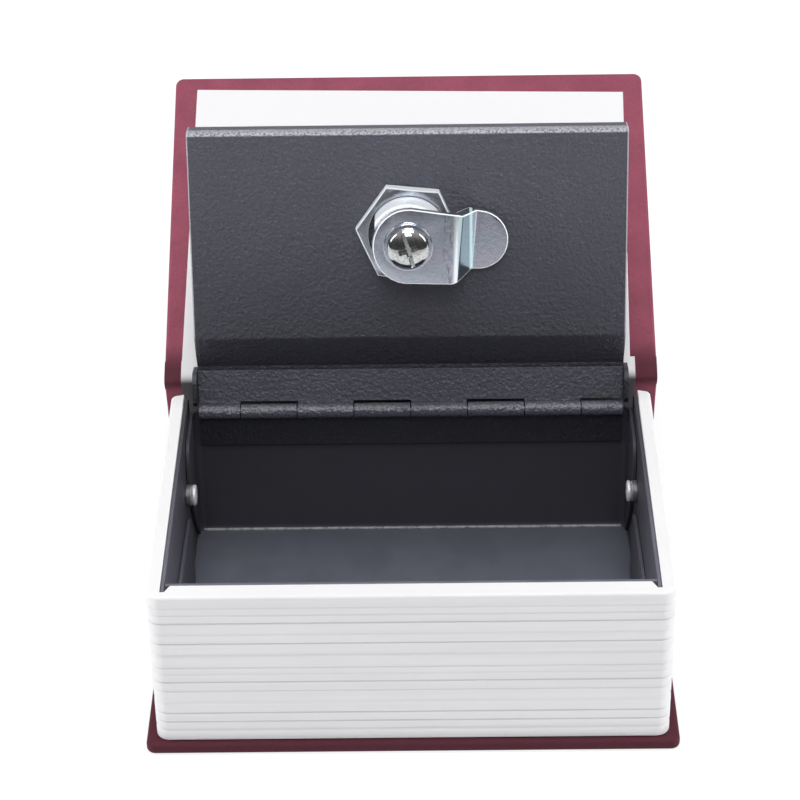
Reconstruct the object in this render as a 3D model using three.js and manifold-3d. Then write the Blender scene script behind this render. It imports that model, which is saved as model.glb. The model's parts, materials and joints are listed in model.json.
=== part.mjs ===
// A book diversion safe: a small steel cash box with a locking lid, set in a hollow
// moulded page block inside the case of a hardback book.
// Millimetres, +Z up, +X to the right of someone who faces the lock, +Y towards the spine.
// The origin is the centre of the back cover's underside. The lid and the front cover
// are drawn shut about their own hinge lines, and their groups are then turned open.

import * as THREE from 'three';
import { mergeVertices } from 'three/addons/utils/BufferGeometryUtils.js';
import Module from 'manifold-3d';

const wasm = await Module();
wasm.setup();

// The book case
const COVER_LENGTH = 115;
const COVER_DEPTH = 80.8;
const BOARD_THICKNESS = 2.6;
const BOARD_CORNER_R = 2;
const BOARD_EDGE_ROUND = 0.6;
const CLOTH_THICKNESS = 1;
const JOINT_WIDTH = 2.6;
const SPINE_THICKNESS = 2;
const SPINE_BULGE = 3.4;
const SPINE_BASE_GAP = 0.4;
const SPINE_TOP_DROP = 0.6;
const PAPER_THICKNESS = 0.3;
const ENDPAPER_SIDE_MARGIN = 5.1;
const ENDPAPER_FORE_MARGIN = 4.7;
const ENDPAPER_JOINT_MARGIN = 1.2;
const ENDPAPER_ASIDE = 0.4;
const ENDPAPER_SKEW = THREE.MathUtils.degToRad(1.1);
const COVER_OPEN = THREE.MathUtils.degToRad(149.5);

// The moulded page block: a front and two sides, with no back
const BLOCK_HEIGHT = 38.9;
const BLOCK_WALL = 1.8;
const BLOCK_CORNER_R = 3;
const BLOCK_END_R = 1.5;
const INNER_CORNER = 0.3;
const BLOCK_FOOT_CHAMFER = 0.3;
const FORE_EDGE_OVERHANG = 1.4;
const REAR_SETBACK = 3.2;
const SIDE_OVERHANG = 2.2;
const RIM_HEIGHT = 3;
const RIM_FRONT = 4.3;
const RIM_SIDE = 3;
const RIM_EDGE_ROUND = 0.5;
const RIM_NOTCH_ACROSS = 2.1;
const RIM_NOTCH_FORWARD = 2.1;
// The page edges show as uneven ribs, given here from the foot up to the rim's edge
const RIB_HEIGHTS = [2.8, 2.4, 2.4, 2.8, 3.2, 2.5, 2.05, 1.8, 3.25, 3.25, 2.3, 3.1, 2.1, 1.85, 2.1];
const RIB_GROOVE_DEPTH = 0.35;
const RIB_GROOVE_HALF_WIDTH = 0.45;

// The steel box
const STEEL = 0.8;
const STEEL_BEND_R = 1.2;
const TUB_TOP_DROP = 0.2;
const TUB_FRONT_SETBACK = 1.9;
const PLATE_CORNER_R = 2;
const FLANGE_FRONT_DROP = 15.3;
const FLANGE_REAR_DROP = 19.3;
const FLANGE_TO_EAR = 2.9;
const EAR_REACH = 16.4;
const EAR_FRONT_DROP = 11.7;
const EAR_SHOULDER = 5;
const WALL_TOP_DROP = 1;
const WALL_BEND_R = 2;
const LEDGE_REACH = 6.3;
const LEDGE_LEG = 8;
const RIVET_DROP = 14.4;
const RIVET_SHANK_R = 1.6;
const RIVET_FLANGE_R = 2.4;
const RIVET_FLANGE_THICKNESS = 0.6;
const RIVET_TAIL_R = 2.2;
const RIVET_TAIL_RISE = 2.4;
const RIVET_TAIL_THICKNESS = 1.2;
const RIVET_HEAD_R = 2.8;
const RIVET_HEAD_THICKNESS = 0.6;

// The piano hinge
const HINGE_END_GAP = 1.5;
const HINGE_DROP = 2.95;
const KNUCKLE_R = 1.7;
const KNUCKLE_BORE_R = 0.92;
const KNUCKLE_COUNT = 8;
const END_KNUCKLE = 9.7;
const HINGE_PIN_R = 0.8;
const LEAF_THICKNESS = 0.6;
const FIXED_LEAF_WIDTH = 10.2;
const MOVING_LEAF_WIDTH = 9.6;
const LEAF_SLOT = 0.3;

// The lid
const LID_SIDE_GAP = 0.5;
const LID_FRONT_GAP = 1.7;
const LID_STRIP_START = 2;
const LID_STRIP_END = 10.6;
const LID_JOGGLE_END = 18.8;
const LID_RECESS = 5.5;
const LID_BEND_R = 0.7;
const LID_EAR_THICKNESS = 0.9;
const LID_EAR_LENGTH = 8;
const LID_EAR_DEPTH = 6.1;
const LID_EAR_R = 2.6;
const LID_OPEN = THREE.MathUtils.degToRad(104.7);

// The cam lock
const LOCK_FROM_FRONT = 22.85;
const BARREL_R = 8.7;
const BARREL_FLATS = 14.7;
const BARREL_RISE = 10.2;
const BEZEL_R = 11;
const BEZEL_HEIGHT = 3;
const BEZEL_CHAMFER = 0.8;
const NUT_FLATS = 20.5;
const NUT_HEIGHT = 3;
const NUT_CHAMFER = 0.7;
const NUT_TURN = THREE.MathUtils.degToRad(-5.8);
const PLUG_R = 5.4;
const PLUG_TAIL = 6.2;
const KEYWAY_LENGTH = 6.4;
const KEYWAY_WIDTH = 1.6;
const KEYWAY_DEPTH = 4;
const STOP_WASHER_R = 8;
const STOP_WASHER_THICKNESS = 0.8;
const CAM_THICKNESS = 2;
const CAM_END_R = 7.65;
const CAM_NECK_WIDTH = 14.2;
const CAM_BEND_AT = 10.5;
const CAM_TIP_AT = 14;
const CAM_TIP_CENTRE = 15.6;
const CAM_TIP_R = 6.75;
const CAM_CRANK = 10.1;
const CAM_BEND_R = 1.3;
const CAM_REST_TURN = THREE.MathUtils.degToRad(-4.9);
const CAM_WASHER_R = 5.4;
const CAM_WASHER_THICKNESS = 0.6;
const SCREW_HEAD_R = 4.65;
const SCREW_HEAD_HEIGHT = 2.2;
const SCREW_EDGE = 0.8;
const SCREW_SHANK_R = 2;
const SCREW_LENGTH = 6;

// Clearances
const GLUE_GAP = 0.1;
const SHEET_GAP = 0.1;
const SEAT_GAP = 0.3;
const RUNNING_GAP = 0.3;
const LEAF_TO_WALL = 0.15;
const CLOSED_GAP = 0.1;
const CLOTH_END_GAP = 0.6;
const BITE = 0.1;
const CUT_MARGIN = 2;

// Facets
const ROUND_SEGMENTS = 32;
const SMALL_ROUND_SEGMENTS = 20;
const CURVE_STEPS = 10;
const CORNER_STEPS = 5;
const EDGE_STEPS = 3;
const SPINE_STEPS = 12;
const DOME_STEPS = 6;
const MERGE_DISTANCE = 1e-4;

// Colours
const LEATHERETTE = 0x6b2433;
const PAPER_WHITE = 0xf3f3f0;
const PLASTIC_WHITE = 0xf1f1ee;
const POWDER_GREY = 0x3e3e44;
const ZINC = 0xb9bec4;
const CHROME = 0xd9dbdd;
const ALUMINIUM = 0xc9cacc;

// Places worked out from the sizes above
const boardTop = BOARD_THICKNESS;
const coverFront = -COVER_DEPTH / 2;
const coverRear = COVER_DEPTH / 2;
const blockFront = coverFront + FORE_EDGE_OVERHANG;
const blockRear = coverRear - REAR_SETBACK;
const blockHalf = COVER_LENGTH / 2 - SIDE_OVERHANG;
const blockFoot = boardTop + GLUE_GAP;
const rimTop = blockFoot + BLOCK_HEIGHT;
const plateOuter = blockHalf - RIM_SIDE - SHEET_GAP;
const plateInner = plateOuter - STEEL;
const tubHalf = plateInner - SHEET_GAP;
const flangeInner = tubHalf - STEEL;
const tubBottom = boardTop + GLUE_GAP;
const floorTop = tubBottom + STEEL;
const tubTop = rimTop - TUB_TOP_DROP;
const frontWallOuter = blockFront + RIM_FRONT + SHEET_GAP;
const frontWallInner = frontWallOuter + STEEL;
const rearWallOuter = blockRear - SHEET_GAP;
const rearWallInner = rearWallOuter - STEEL;
const earFront = rearWallInner - EAR_REACH;
const flangeEnd = earFront - FLANGE_TO_EAR;
const rivetY = earFront - RIVET_FLANGE_R - SHEET_GAP;
const rivetZ = rimTop - RIVET_DROP;
const hingeY = rearWallInner - LEAF_TO_WALL - KNUCKLE_R;
const hingeZ = rimTop - HINGE_DROP;
const hingeHalf = flangeInner - HINGE_END_GAP;
const knucklePitch = (2 * hingeHalf - 2 * END_KNUCKLE) / (KNUCKLE_COUNT - 2);
const lidHalf = flangeInner - LID_SIDE_GAP - LID_EAR_THICKNESS;
const lidLength = hingeY - frontWallInner - LID_FRONT_GAP;
const lockFromHinge = lidLength - LOCK_FROM_FRONT;
const stripTop = HINGE_DROP - CLOSED_GAP;
const lidSheet = stripTop - KNUCKLE_R - SEAT_GAP;
const panelOuter = stripTop - LID_RECESS;
const panelInner = panelOuter - lidSheet;
const ledgeTop = hingeZ + panelInner - RUNNING_GAP;
const coverHingeY = coverRear + JOINT_WIDTH;
const coverHingeZ = rimTop + CLOSED_GAP + PAPER_THICKNESS;
const spineBase = CLOTH_THICKNESS + SPINE_BASE_GAP;
const spineTop = coverHingeZ - SPINE_TOP_DROP - CLOSED_GAP;

function material(color, roughness, metalness) {
  return new THREE.MeshStandardMaterial({ color, roughness, metalness });
}

// A geometry as a solid whose shared corners are merged, ready to join or cut
function solidOf(geometry) {
  const bare = new THREE.BufferGeometry();
  bare.setAttribute('position', geometry.getAttribute('position').clone());
  if (geometry.index) {
    bare.setIndex(geometry.index.clone());
  }
  const merged = mergeVertices(bare, MERGE_DISTANCE);
  const corners = [];
  const index = merged.index.array;
  for (let i = 0; i < index.length; i += 3) {
    const [a, b, c] = [index[i], index[i + 1], index[i + 2]];
    if (a !== b && b !== c && c !== a) {
      corners.push(a, b, c);
    }
  }
  return new wasm.Manifold(new wasm.Mesh({
    numProp: 3,
    vertProperties: new Float32Array(merged.getAttribute('position').array),
    triVerts: new Uint32Array(corners),
  }));
}

function geometryOf(solid) {
  const mesh = solid.getMesh();
  const geometry = new THREE.BufferGeometry();
  geometry.setAttribute('position', new THREE.BufferAttribute(mesh.vertProperties, 3));
  geometry.setIndex(new THREE.BufferAttribute(mesh.triVerts, 1));
  geometry.computeVertexNormals();
  return geometry;
}

function join(first, ...others) {
  const solids = others.map(solidOf);
  return geometryOf(solids.reduce((whole, next) => whole.add(next), solidOf(first)));
}

function cut(first, ...others) {
  const solids = others.map(solidOf);
  return geometryOf(solids.reduce((whole, next) => whole.subtract(next), solidOf(first)));
}

function common(first, second) {
  return geometryOf(solidOf(first).intersect(solidOf(second)));
}

// A box from its low corner to its high corner
function boxBetween(low, high) {
  const geometry = new THREE.BoxGeometry(high[0] - low[0], high[1] - low[1], high[2] - low[2]);
  return geometry.translate((low[0] + high[0]) / 2, (low[1] + high[1]) / 2, (low[2] + high[2]) / 2);
}

// A prism that stands on the plane z = low
function prismUp(shape, low, high) {
  const geometry = new THREE.ExtrudeGeometry(shape, {
    depth: high - low,
    bevelEnabled: false,
    curveSegments: CURVE_STEPS,
  });
  return geometry.translate(0, 0, low);
}

// A prism along X whose outline is drawn with Y to the right and Z up
function prismAcross(shape, left, right) {
  const geometry = new THREE.ExtrudeGeometry(shape, {
    depth: right - left,
    bevelEnabled: false,
    curveSegments: CURVE_STEPS,
  });
  const turned = new THREE.Matrix4().makeBasis(
    new THREE.Vector3(0, 1, 0),
    new THREE.Vector3(0, 0, 1),
    new THREE.Vector3(1, 0, 0),
  );
  return geometry.applyMatrix4(turned).translate(left, 0, 0);
}

function shapeOf(points) {
  return new THREE.Shape(points.map(([x, y]) => new THREE.Vector2(x, y)));
}

// A round bar or disc along Z between two heights
function roundUp(radius, low, high, segments = ROUND_SEGMENTS) {
  const geometry = new THREE.CylinderGeometry(radius, radius, high - low, segments);
  return geometry.rotateX(Math.PI / 2).translate(0, 0, (low + high) / 2);
}

// A round bar along X between two places
function roundAcross(radius, left, right, y, z) {
  const geometry = new THREE.CylinderGeometry(radius, radius, right - left, SMALL_ROUND_SEGMENTS);
  return geometry.rotateZ(-Math.PI / 2).translate((left + right) / 2, y, z);
}

// The outline of a bent sheet: its middle line, with every corner rounded, is offset
// by half the thickness to both sides
function bentSheet(line, thickness, bendRadius) {
  const corners = line.map(([x, y]) => new THREE.Vector2(x, y));
  const samples = [];
  for (let i = 0; i < corners.length; i += 1) {
    const before = corners[Math.max(i - 1, 0)];
    const after = corners[Math.min(i + 1, corners.length - 1)];
    const arriving = corners[i].clone().sub(before).normalize();
    const leaving = after.clone().sub(corners[i]).normalize();
    if (i === 0 || i === corners.length - 1) {
      const along = i === 0 ? leaving : arriving;
      samples.push({ at: corners[i], side: new THREE.Vector2(-along.y, along.x) });
      continue;
    }
    const turn = Math.atan2(arriving.cross(leaving), arriving.dot(leaving));
    const reach = bendRadius * Math.tan(Math.abs(turn) / 2);
    const start = corners[i].clone().addScaledVector(arriving, -reach);
    const startSide = new THREE.Vector2(-arriving.y, arriving.x);
    const centre = start.clone().addScaledVector(startSide, Math.sign(turn) * bendRadius);
    for (let step = 0; step <= CORNER_STEPS; step += 1) {
      const angle = (turn * step) / CORNER_STEPS;
      const side = startSide.clone().rotateAround(new THREE.Vector2(), angle);
      const at = centre.clone().addScaledVector(side, -Math.sign(turn) * bendRadius);
      samples.push({ at, side });
    }
  }
  const left = samples.map(({ at, side }) => at.clone().addScaledVector(side, thickness / 2));
  const right = samples.map(({ at, side }) => at.clone().addScaledVector(side, -thickness / 2));
  return new THREE.Shape([...right, ...left.reverse()]);
}

function roundedRectangle(left, right, low, high, radius) {
  const shape = new THREE.Shape();
  shape.moveTo(left + radius, low);
  shape.lineTo(right - radius, low);
  shape.absarc(right - radius, low + radius, radius, -Math.PI / 2, 0, false);
  shape.lineTo(right, high - radius);
  shape.absarc(right - radius, high - radius, radius, 0, Math.PI / 2, false);
  shape.lineTo(left + radius, high);
  shape.absarc(left + radius, high - radius, radius, Math.PI / 2, Math.PI, false);
  shape.lineTo(left, low + radius);
  shape.absarc(left + radius, low + radius, radius, Math.PI, Math.PI * 1.5, false);
  return shape;
}

// A covered board with softened edges, lying between two heights
function board(front, rear, low, high) {
  const half = COVER_LENGTH / 2 - BOARD_EDGE_ROUND;
  const outline = roundedRectangle(
    -half,
    half,
    front + BOARD_EDGE_ROUND,
    rear - BOARD_EDGE_ROUND,
    BOARD_CORNER_R - BOARD_EDGE_ROUND,
  );
  const geometry = new THREE.ExtrudeGeometry(outline, {
    depth: high - low - 2 * BOARD_EDGE_ROUND,
    bevelEnabled: true,
    bevelThickness: BOARD_EDGE_ROUND,
    bevelSize: BOARD_EDGE_ROUND,
    bevelSegments: EDGE_STEPS,
    curveSegments: EDGE_STEPS,
  });
  return geometry.translate(0, 0, low + BOARD_EDGE_ROUND);
}

// The value at one place, read off along straight lines between pairs of [place, value]
function readOff(pairs, place) {
  for (let i = 1; i < pairs.length; i += 1) {
    const [from, fromValue] = pairs[i - 1];
    const [to, toValue] = pairs[i];
    if (place <= to) {
      return fromValue + ((toValue - fromValue) * (place - from)) / (to - from);
    }
  }
  return pairs[pairs.length - 1][1];
}

// How far the page block's outer face stands back at each height: a chamfered foot,
// a groove between each two ribs and a rounded top edge
function blockRelief() {
  const total = RIB_HEIGHTS.reduce((sum, height) => sum + height, 0);
  const scale = (BLOCK_HEIGHT - 2 * RIM_EDGE_ROUND) / total;
  const pairs = [[0, BLOCK_FOOT_CHAMFER], [BLOCK_FOOT_CHAMFER, 0]];
  let height = 0;
  for (const rib of RIB_HEIGHTS) {
    height += rib * scale;
    pairs.push([height - RIB_GROOVE_HALF_WIDTH, 0]);
    pairs.push([height, RIB_GROOVE_DEPTH]);
    pairs.push([height + RIB_GROOVE_HALF_WIDTH, 0]);
  }
  pairs.push([BLOCK_HEIGHT, RIM_EDGE_ROUND]);
  return pairs;
}

function arc(centreX, centreY, radius, from, to, steps) {
  const points = [];
  for (let step = 0; step <= steps; step += 1) {
    const angle = from + ((to - from) * step) / steps;
    points.push([centreX + radius * Math.cos(angle), centreY + radius * Math.sin(angle)]);
  }
  return points;
}

// The page block's plan at one height. The relief draws the outer faces in, and rim
// runs from 0 at the thin wall to 1 at the full width of the rim
function blockPlan(relief, rim) {
  const quarter = Math.PI / 2;
  const frontRadius = BLOCK_CORNER_R - relief;
  const endRadius = BLOCK_END_R - relief;
  const cornerX = blockHalf - BLOCK_CORNER_R;
  const cornerY = blockFront + BLOCK_CORNER_R;
  const endX = blockHalf - BLOCK_END_R;
  const endY = blockRear - BLOCK_END_R;
  const mix = THREE.MathUtils.lerp;
  const innerX = blockHalf - mix(BLOCK_WALL, RIM_SIDE, rim);
  const innerY = blockFront + mix(BLOCK_WALL, RIM_FRONT, rim);
  const notchX = blockHalf - RIM_SIDE - RIM_NOTCH_ACROSS;
  const notchY = innerY + mix(3 * INNER_CORNER, -RIM_NOTCH_FORWARD, rim);
  const stepX = mix(innerX - INNER_CORNER, plateInner - SHEET_GAP, rim);
  const stepY = innerY + mix(INNER_CORNER, -RIM_NOTCH_FORWARD, rim);
  return [
    ...arc(-cornerX, cornerY, frontRadius, -2 * quarter, -quarter, CORNER_STEPS),
    ...arc(cornerX, cornerY, frontRadius, -quarter, 0, CORNER_STEPS),
    ...arc(endX, endY, endRadius, 0, quarter, EDGE_STEPS),
    [innerX, blockRear - relief],
    [innerX, notchY],
    [stepX, stepY],
    [notchX, innerY],
    [-notchX, innerY],
    [-stepX, stepY],
    [-innerX, notchY],
    [-innerX, blockRear - relief],
    ...arc(-endX, endY, endRadius, quarter, 2 * quarter, EDGE_STEPS),
  ];
}

// A solid through a stack of outlines with equal numbers of points
function loft(outlines, heights) {
  const count = outlines[0].length;
  const positions = [];
  outlines.forEach((outline, level) => {
    for (const [x, y] of outline) {
      positions.push(x, y, heights[level]);
    }
  });
  const index = [];
  for (let level = 0; level + 1 < outlines.length; level += 1) {
    for (let i = 0; i < count; i += 1) {
      const here = level * count + i;
      const next = level * count + ((i + 1) % count);
      index.push(here, next, next + count, here, next + count, here + count);
    }
  }
  const last = outlines.length - 1;
  const contour = (outline) => outline.map(([x, y]) => new THREE.Vector2(x, y));
  for (const [a, b, c] of THREE.ShapeUtils.triangulateShape(contour(outlines[0]), [])) {
    index.push(a, c, b);
  }
  for (const [a, b, c] of THREE.ShapeUtils.triangulateShape(contour(outlines[last]), [])) {
    index.push(last * count + a, last * count + b, last * count + c);
  }
  const geometry = new THREE.BufferGeometry();
  geometry.setAttribute('position', new THREE.Float32BufferAttribute(positions, 3));
  geometry.setIndex(index);
  geometry.computeVertexNormals();
  return geometry;
}

// The most skilled piece: a thin moulded wall whose uneven ribs, standing for the page
// edges, run round both front corners, under a wide smooth rim
function pageBlock() {
  const relief = blockRelief();
  const rimFoot = BLOCK_HEIGHT - RIM_HEIGHT;
  const rimStart = rimFoot - (RIM_FRONT - BLOCK_WALL);
  const widening = [[0, 0], [rimStart, 0], [rimFoot, 1], [BLOCK_HEIGHT, 1]];
  const heights = [...new Set([...relief, ...widening].map(([height]) => height))];
  heights.sort((a, b) => a - b);
  const outlines = heights.map((height) => blockPlan(readOff(relief, height), readOff(widening, height)));
  return loft(outlines, heights.map((height) => blockFoot + height));
}

// One sheet makes the floor and the front wall, and its side flanges stand up inside
// the side plates, lower towards the back
function tubFloor() {
  const middle = STEEL / 2;
  const line = [
    [frontWallOuter + middle, tubTop],
    [frontWallOuter + middle, tubBottom + middle],
    [rearWallInner - SHEET_GAP, tubBottom + middle],
  ];
  const sheet = prismAcross(bentSheet(line, STEEL, STEEL_BEND_R), -tubHalf, tubHalf);
  const flange = shapeOf([
    [frontWallInner - BITE, floorTop - BITE],
    [flangeEnd, floorTop - BITE],
    [flangeEnd, rimTop - FLANGE_REAR_DROP - PLATE_CORNER_R],
    [flangeEnd - PLATE_CORNER_R, rimTop - FLANGE_REAR_DROP],
    [frontWallInner - BITE, rimTop - FLANGE_FRONT_DROP],
  ]);
  const left = prismAcross(flange, -tubHalf, -tubHalf + STEEL);
  const right = prismAcross(flange, tubHalf - STEEL, tubHalf);
  return join(sheet, left, right);
}

function rivetHole(side) {
  const radius = RIVET_SHANK_R + SHEET_GAP;
  const low = side > 0 ? plateInner : -plateOuter;
  return roundAcross(radius, low - CUT_MARGIN, low + STEEL + CUT_MARGIN, rivetY, rivetZ);
}

// A side plate reaches forward into the notch in the rim
function tubSide(side) {
  const front = frontWallOuter - TUB_FRONT_SETBACK + SHEET_GAP;
  const shape = roundedRectangle(front, rearWallOuter, tubBottom, tubTop, PLATE_CORNER_R);
  const plate = side > 0
    ? prismAcross(shape, plateInner, plateOuter)
    : prismAcross(shape, -plateOuter, -plateInner);
  return cut(plate, rivetHole(side));
}

// The rear wall is bent forward at both ends into wide ears that lie on the side plates
function tubRearWall() {
  const middle = STEEL / 2;
  const endX = tubHalf - middle;
  const wallY = rearWallOuter - middle;
  const tip = earFront - CUT_MARGIN;
  const line = [[-endX, tip], [-endX, wallY], [endX, wallY], [endX, tip]];
  const foot = floorTop + SHEET_GAP;
  const top = hingeZ - WALL_TOP_DROP;
  const sheet = prismUp(bentSheet(line, STEEL, WALL_BEND_R), foot, top);
  const middleZ = rimTop - EAR_FRONT_DROP;
  const back = rearWallOuter + CUT_MARGIN;
  const kept = new THREE.Shape();
  kept.moveTo(back, foot - CUT_MARGIN);
  kept.lineTo(rearWallInner - WALL_BEND_R, foot - CUT_MARGIN);
  kept.lineTo(rearWallInner - WALL_BEND_R, foot);
  kept.quadraticCurveTo(earFront, middleZ - EAR_REACH / 2, earFront, middleZ);
  kept.quadraticCurveTo(earFront, top, earFront + EAR_SHOULDER, top);
  kept.lineTo(earFront + EAR_SHOULDER, top + CUT_MARGIN);
  kept.lineTo(back, top + CUT_MARGIN);
  return common(sheet, prismAcross(kept, -tubHalf - CUT_MARGIN, tubHalf + CUT_MARGIN));
}

// An angle behind the front wall: the closed lid rests on it and the cam turns under it
function lidLedge() {
  const middle = STEEL / 2;
  const legY = frontWallInner + SHEET_GAP + middle;
  const line = [
    [legY, ledgeTop - LEDGE_LEG],
    [legY, ledgeTop - middle],
    [frontWallInner + LEDGE_REACH, ledgeTop - middle],
  ];
  const half = flangeInner - SHEET_GAP;
  return prismAcross(bentSheet(line, STEEL, STEEL_BEND_R), -half, half);
}

// A blind rivet: a flat head outside the plate, a flange and a swollen tail inside
function rivet(side) {
  const headOuter = plateOuter + SHEET_GAP + RIVET_HEAD_THICKNESS;
  const flangeFace = plateInner - SHEET_GAP - RIVET_FLANGE_THICKNESS;
  const tailInner = plateInner - RIVET_TAIL_RISE;
  const profile = [
    [0, tailInner],
    [RIVET_TAIL_R / 2, tailInner],
    [RIVET_TAIL_R, tailInner + RIVET_TAIL_THICKNESS / 2],
    [RIVET_SHANK_R, tailInner + RIVET_TAIL_THICKNESS],
    [RIVET_SHANK_R, flangeFace],
    [RIVET_FLANGE_R, flangeFace],
    [RIVET_FLANGE_R, plateInner - SHEET_GAP],
    [RIVET_SHANK_R, plateInner - SHEET_GAP],
    [RIVET_SHANK_R, plateOuter + SHEET_GAP],
    [RIVET_HEAD_R, plateOuter + SHEET_GAP],
    [RIVET_HEAD_R, headOuter],
    [0, headOuter],
  ].map(([radius, along]) => new THREE.Vector2(radius, along));
  const geometry = new THREE.LatheGeometry(profile, SMALL_ROUND_SEGMENTS);
  return geometry.rotateZ(-side * Math.PI / 2).translate(0, rivetY, rivetZ);
}

// The two ends of one knuckle, counted from the left
function knuckleSpan(number) {
  const middle = KNUCKLE_COUNT / 2;
  const left = number === 0 ? -hingeHalf : (number - middle) * knucklePitch;
  const right = number === KNUCKLE_COUNT - 1 ? hingeHalf : (number + 1 - middle) * knucklePitch;
  return [left + LEAF_SLOT / 2, right - LEAF_SLOT / 2];
}

// A hinge leaf about an axis at y = 0, z = 0: a flat plate that hangs down behind the
// axis, with every second knuckle rolled from its top. Turned end for end, the same
// leaf has the other knuckles, so both leaves come from here
function hingeLeaf(width) {
  const face = KNUCKLE_R - LEAF_THICKNESS;
  const slotDepth = KNUCKLE_R + LEAF_SLOT;
  const plate = boxBetween([-hingeHalf, face, -width], [hingeHalf, KNUCKLE_R, -slotDepth]);
  const rolled = [];
  for (let number = 1; number < KNUCKLE_COUNT; number += 2) {
    const [left, right] = knuckleSpan(number);
    const ring = new THREE.Shape();
    ring.absarc(0, 0, KNUCKLE_R, 0, Math.PI * 2, false);
    const bore = new THREE.Path();
    bore.absarc(0, 0, KNUCKLE_BORE_R, 0, Math.PI * 2, true);
    ring.holes.push(bore);
    rolled.push(prismAcross(ring, left, right));
    rolled.push(boxBetween([left, face, -slotDepth - BITE], [right, KNUCKLE_R, 0]));
  }
  return join(plate, ...rolled);
}

// The lid shut, about its hinge line: a pan with its front edge turned up to the rim's
// height, a recessed panel and a raised strip behind it that is welded to the hinge
function lidPanel() {
  const middle = lidSheet / 2;
  const line = [
    [-lidLength + middle, stripTop],
    [-lidLength + middle, panelInner + middle],
    [-LID_JOGGLE_END, panelInner + middle],
    [-LID_STRIP_END, stripTop - middle],
    [-LID_STRIP_START, stripTop - middle],
  ];
  const pan = prismAcross(bentSheet(line, lidSheet, LID_BEND_R), -lidHalf, lidHalf);
  const ears = [-1, 1].map(lidEar);
  const hole = barrelOutline(SEAT_GAP);
  const lockHole = prismUp(hole, panelInner - CUT_MARGIN, panelOuter + CUT_MARGIN);
  return cut(join(pan, ...ears), lockHole.translate(0, -lockFromHinge, 0));
}

// A stiffening ear turned down at each end of the strip
function lidEar(side) {
  const front = -LID_STRIP_START - LID_EAR_LENGTH;
  const low = stripTop - LID_EAR_DEPTH;
  const shape = new THREE.Shape();
  shape.moveTo(front, stripTop);
  shape.lineTo(front, low + LID_EAR_R);
  shape.absarc(front + LID_EAR_R, low + LID_EAR_R, LID_EAR_R, Math.PI, Math.PI * 1.5, false);
  shape.lineTo(-LID_STRIP_START - LID_EAR_R / 2, low);
  shape.lineTo(-LID_STRIP_START, low + LID_EAR_R / 2);
  shape.lineTo(-LID_STRIP_START, stripTop);
  const inner = lidHalf - BITE;
  const outer = lidHalf + LID_EAR_THICKNESS;
  return side > 0 ? prismAcross(shape, inner, outer) : prismAcross(shape, -outer, -inner);
}

// The lock barrel's section: a round with two flats that stop it turning
function barrelOutline(gap) {
  const radius = BARREL_R + gap;
  const half = BARREL_FLATS / 2 + gap;
  const flatAngle = Math.acos(half / radius);
  return shapeOf([
    ...arc(0, 0, radius, flatAngle, Math.PI - flatAngle, CURVE_STEPS),
    ...arc(0, 0, radius, Math.PI + flatAngle, 2 * Math.PI - flatAngle, CURVE_STEPS),
  ]);
}

// Lock pieces are drawn about the lock's own axis: z = 0 is the panel's inner face and
// +z points into the box when the lid is shut
const bezelTop = -lidSheet - SEAT_GAP;
const bezelFace = bezelTop - BEZEL_HEIGHT;
const washerLow = BARREL_RISE + SEAT_GAP;
const camLow = washerLow + STOP_WASHER_THICKNESS + SEAT_GAP;
const camWasherLow = camLow + CAM_THICKNESS + SEAT_GAP;
const screwHeadLow = camWasherLow + CAM_WASHER_THICKNESS + SEAT_GAP;

function lockBody() {
  const bezelProfile = [
    [0, bezelFace],
    [BEZEL_R - BEZEL_CHAMFER, bezelFace],
    [BEZEL_R, bezelFace + BEZEL_CHAMFER],
    [BEZEL_R, bezelTop],
    [0, bezelTop],
  ].map(([radius, height]) => new THREE.Vector2(radius, height));
  const bezel = new THREE.LatheGeometry(bezelProfile, ROUND_SEGMENTS).rotateX(Math.PI / 2);
  const barrel = prismUp(barrelOutline(0), bezelTop - BITE, BARREL_RISE);
  const bore = roundUp(PLUG_R + SEAT_GAP, bezelFace - CUT_MARGIN, BARREL_RISE + CUT_MARGIN);
  return cut(join(bezel, barrel), bore);
}

// A hexagon whose corners are taken off by a shallow cone on the outer face
function lockNut() {
  const cornerR = NUT_FLATS / 2 / Math.cos(Math.PI / 6);
  const low = SEAT_GAP;
  const high = SEAT_GAP + NUT_HEIGHT;
  const hexagon = prismUp(shapeOf(arc(0, 0, cornerR, 0, Math.PI * 2, 6).slice(0, 6)), low, high);
  const coneProfile = [
    [0, low - CUT_MARGIN],
    [cornerR + NUT_CHAMFER, low - CUT_MARGIN],
    [cornerR + NUT_CHAMFER, high - NUT_CHAMFER],
    [NUT_FLATS / 2, high],
    [0, high],
  ].map(([radius, height]) => new THREE.Vector2(radius, height));
  const cone = new THREE.LatheGeometry(coneProfile, ROUND_SEGMENTS).rotateX(Math.PI / 2);
  const bore = roundUp(BARREL_R + SEAT_GAP, low - CUT_MARGIN, high + CUT_MARGIN);
  return cut(common(hexagon, cone), bore);
}

function squareHole(low, high) {
  const half = PLUG_TAIL / 2 + SEAT_GAP;
  return boxBetween([-half, -half, low - CUT_MARGIN], [half, half, high + CUT_MARGIN]);
}

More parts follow.
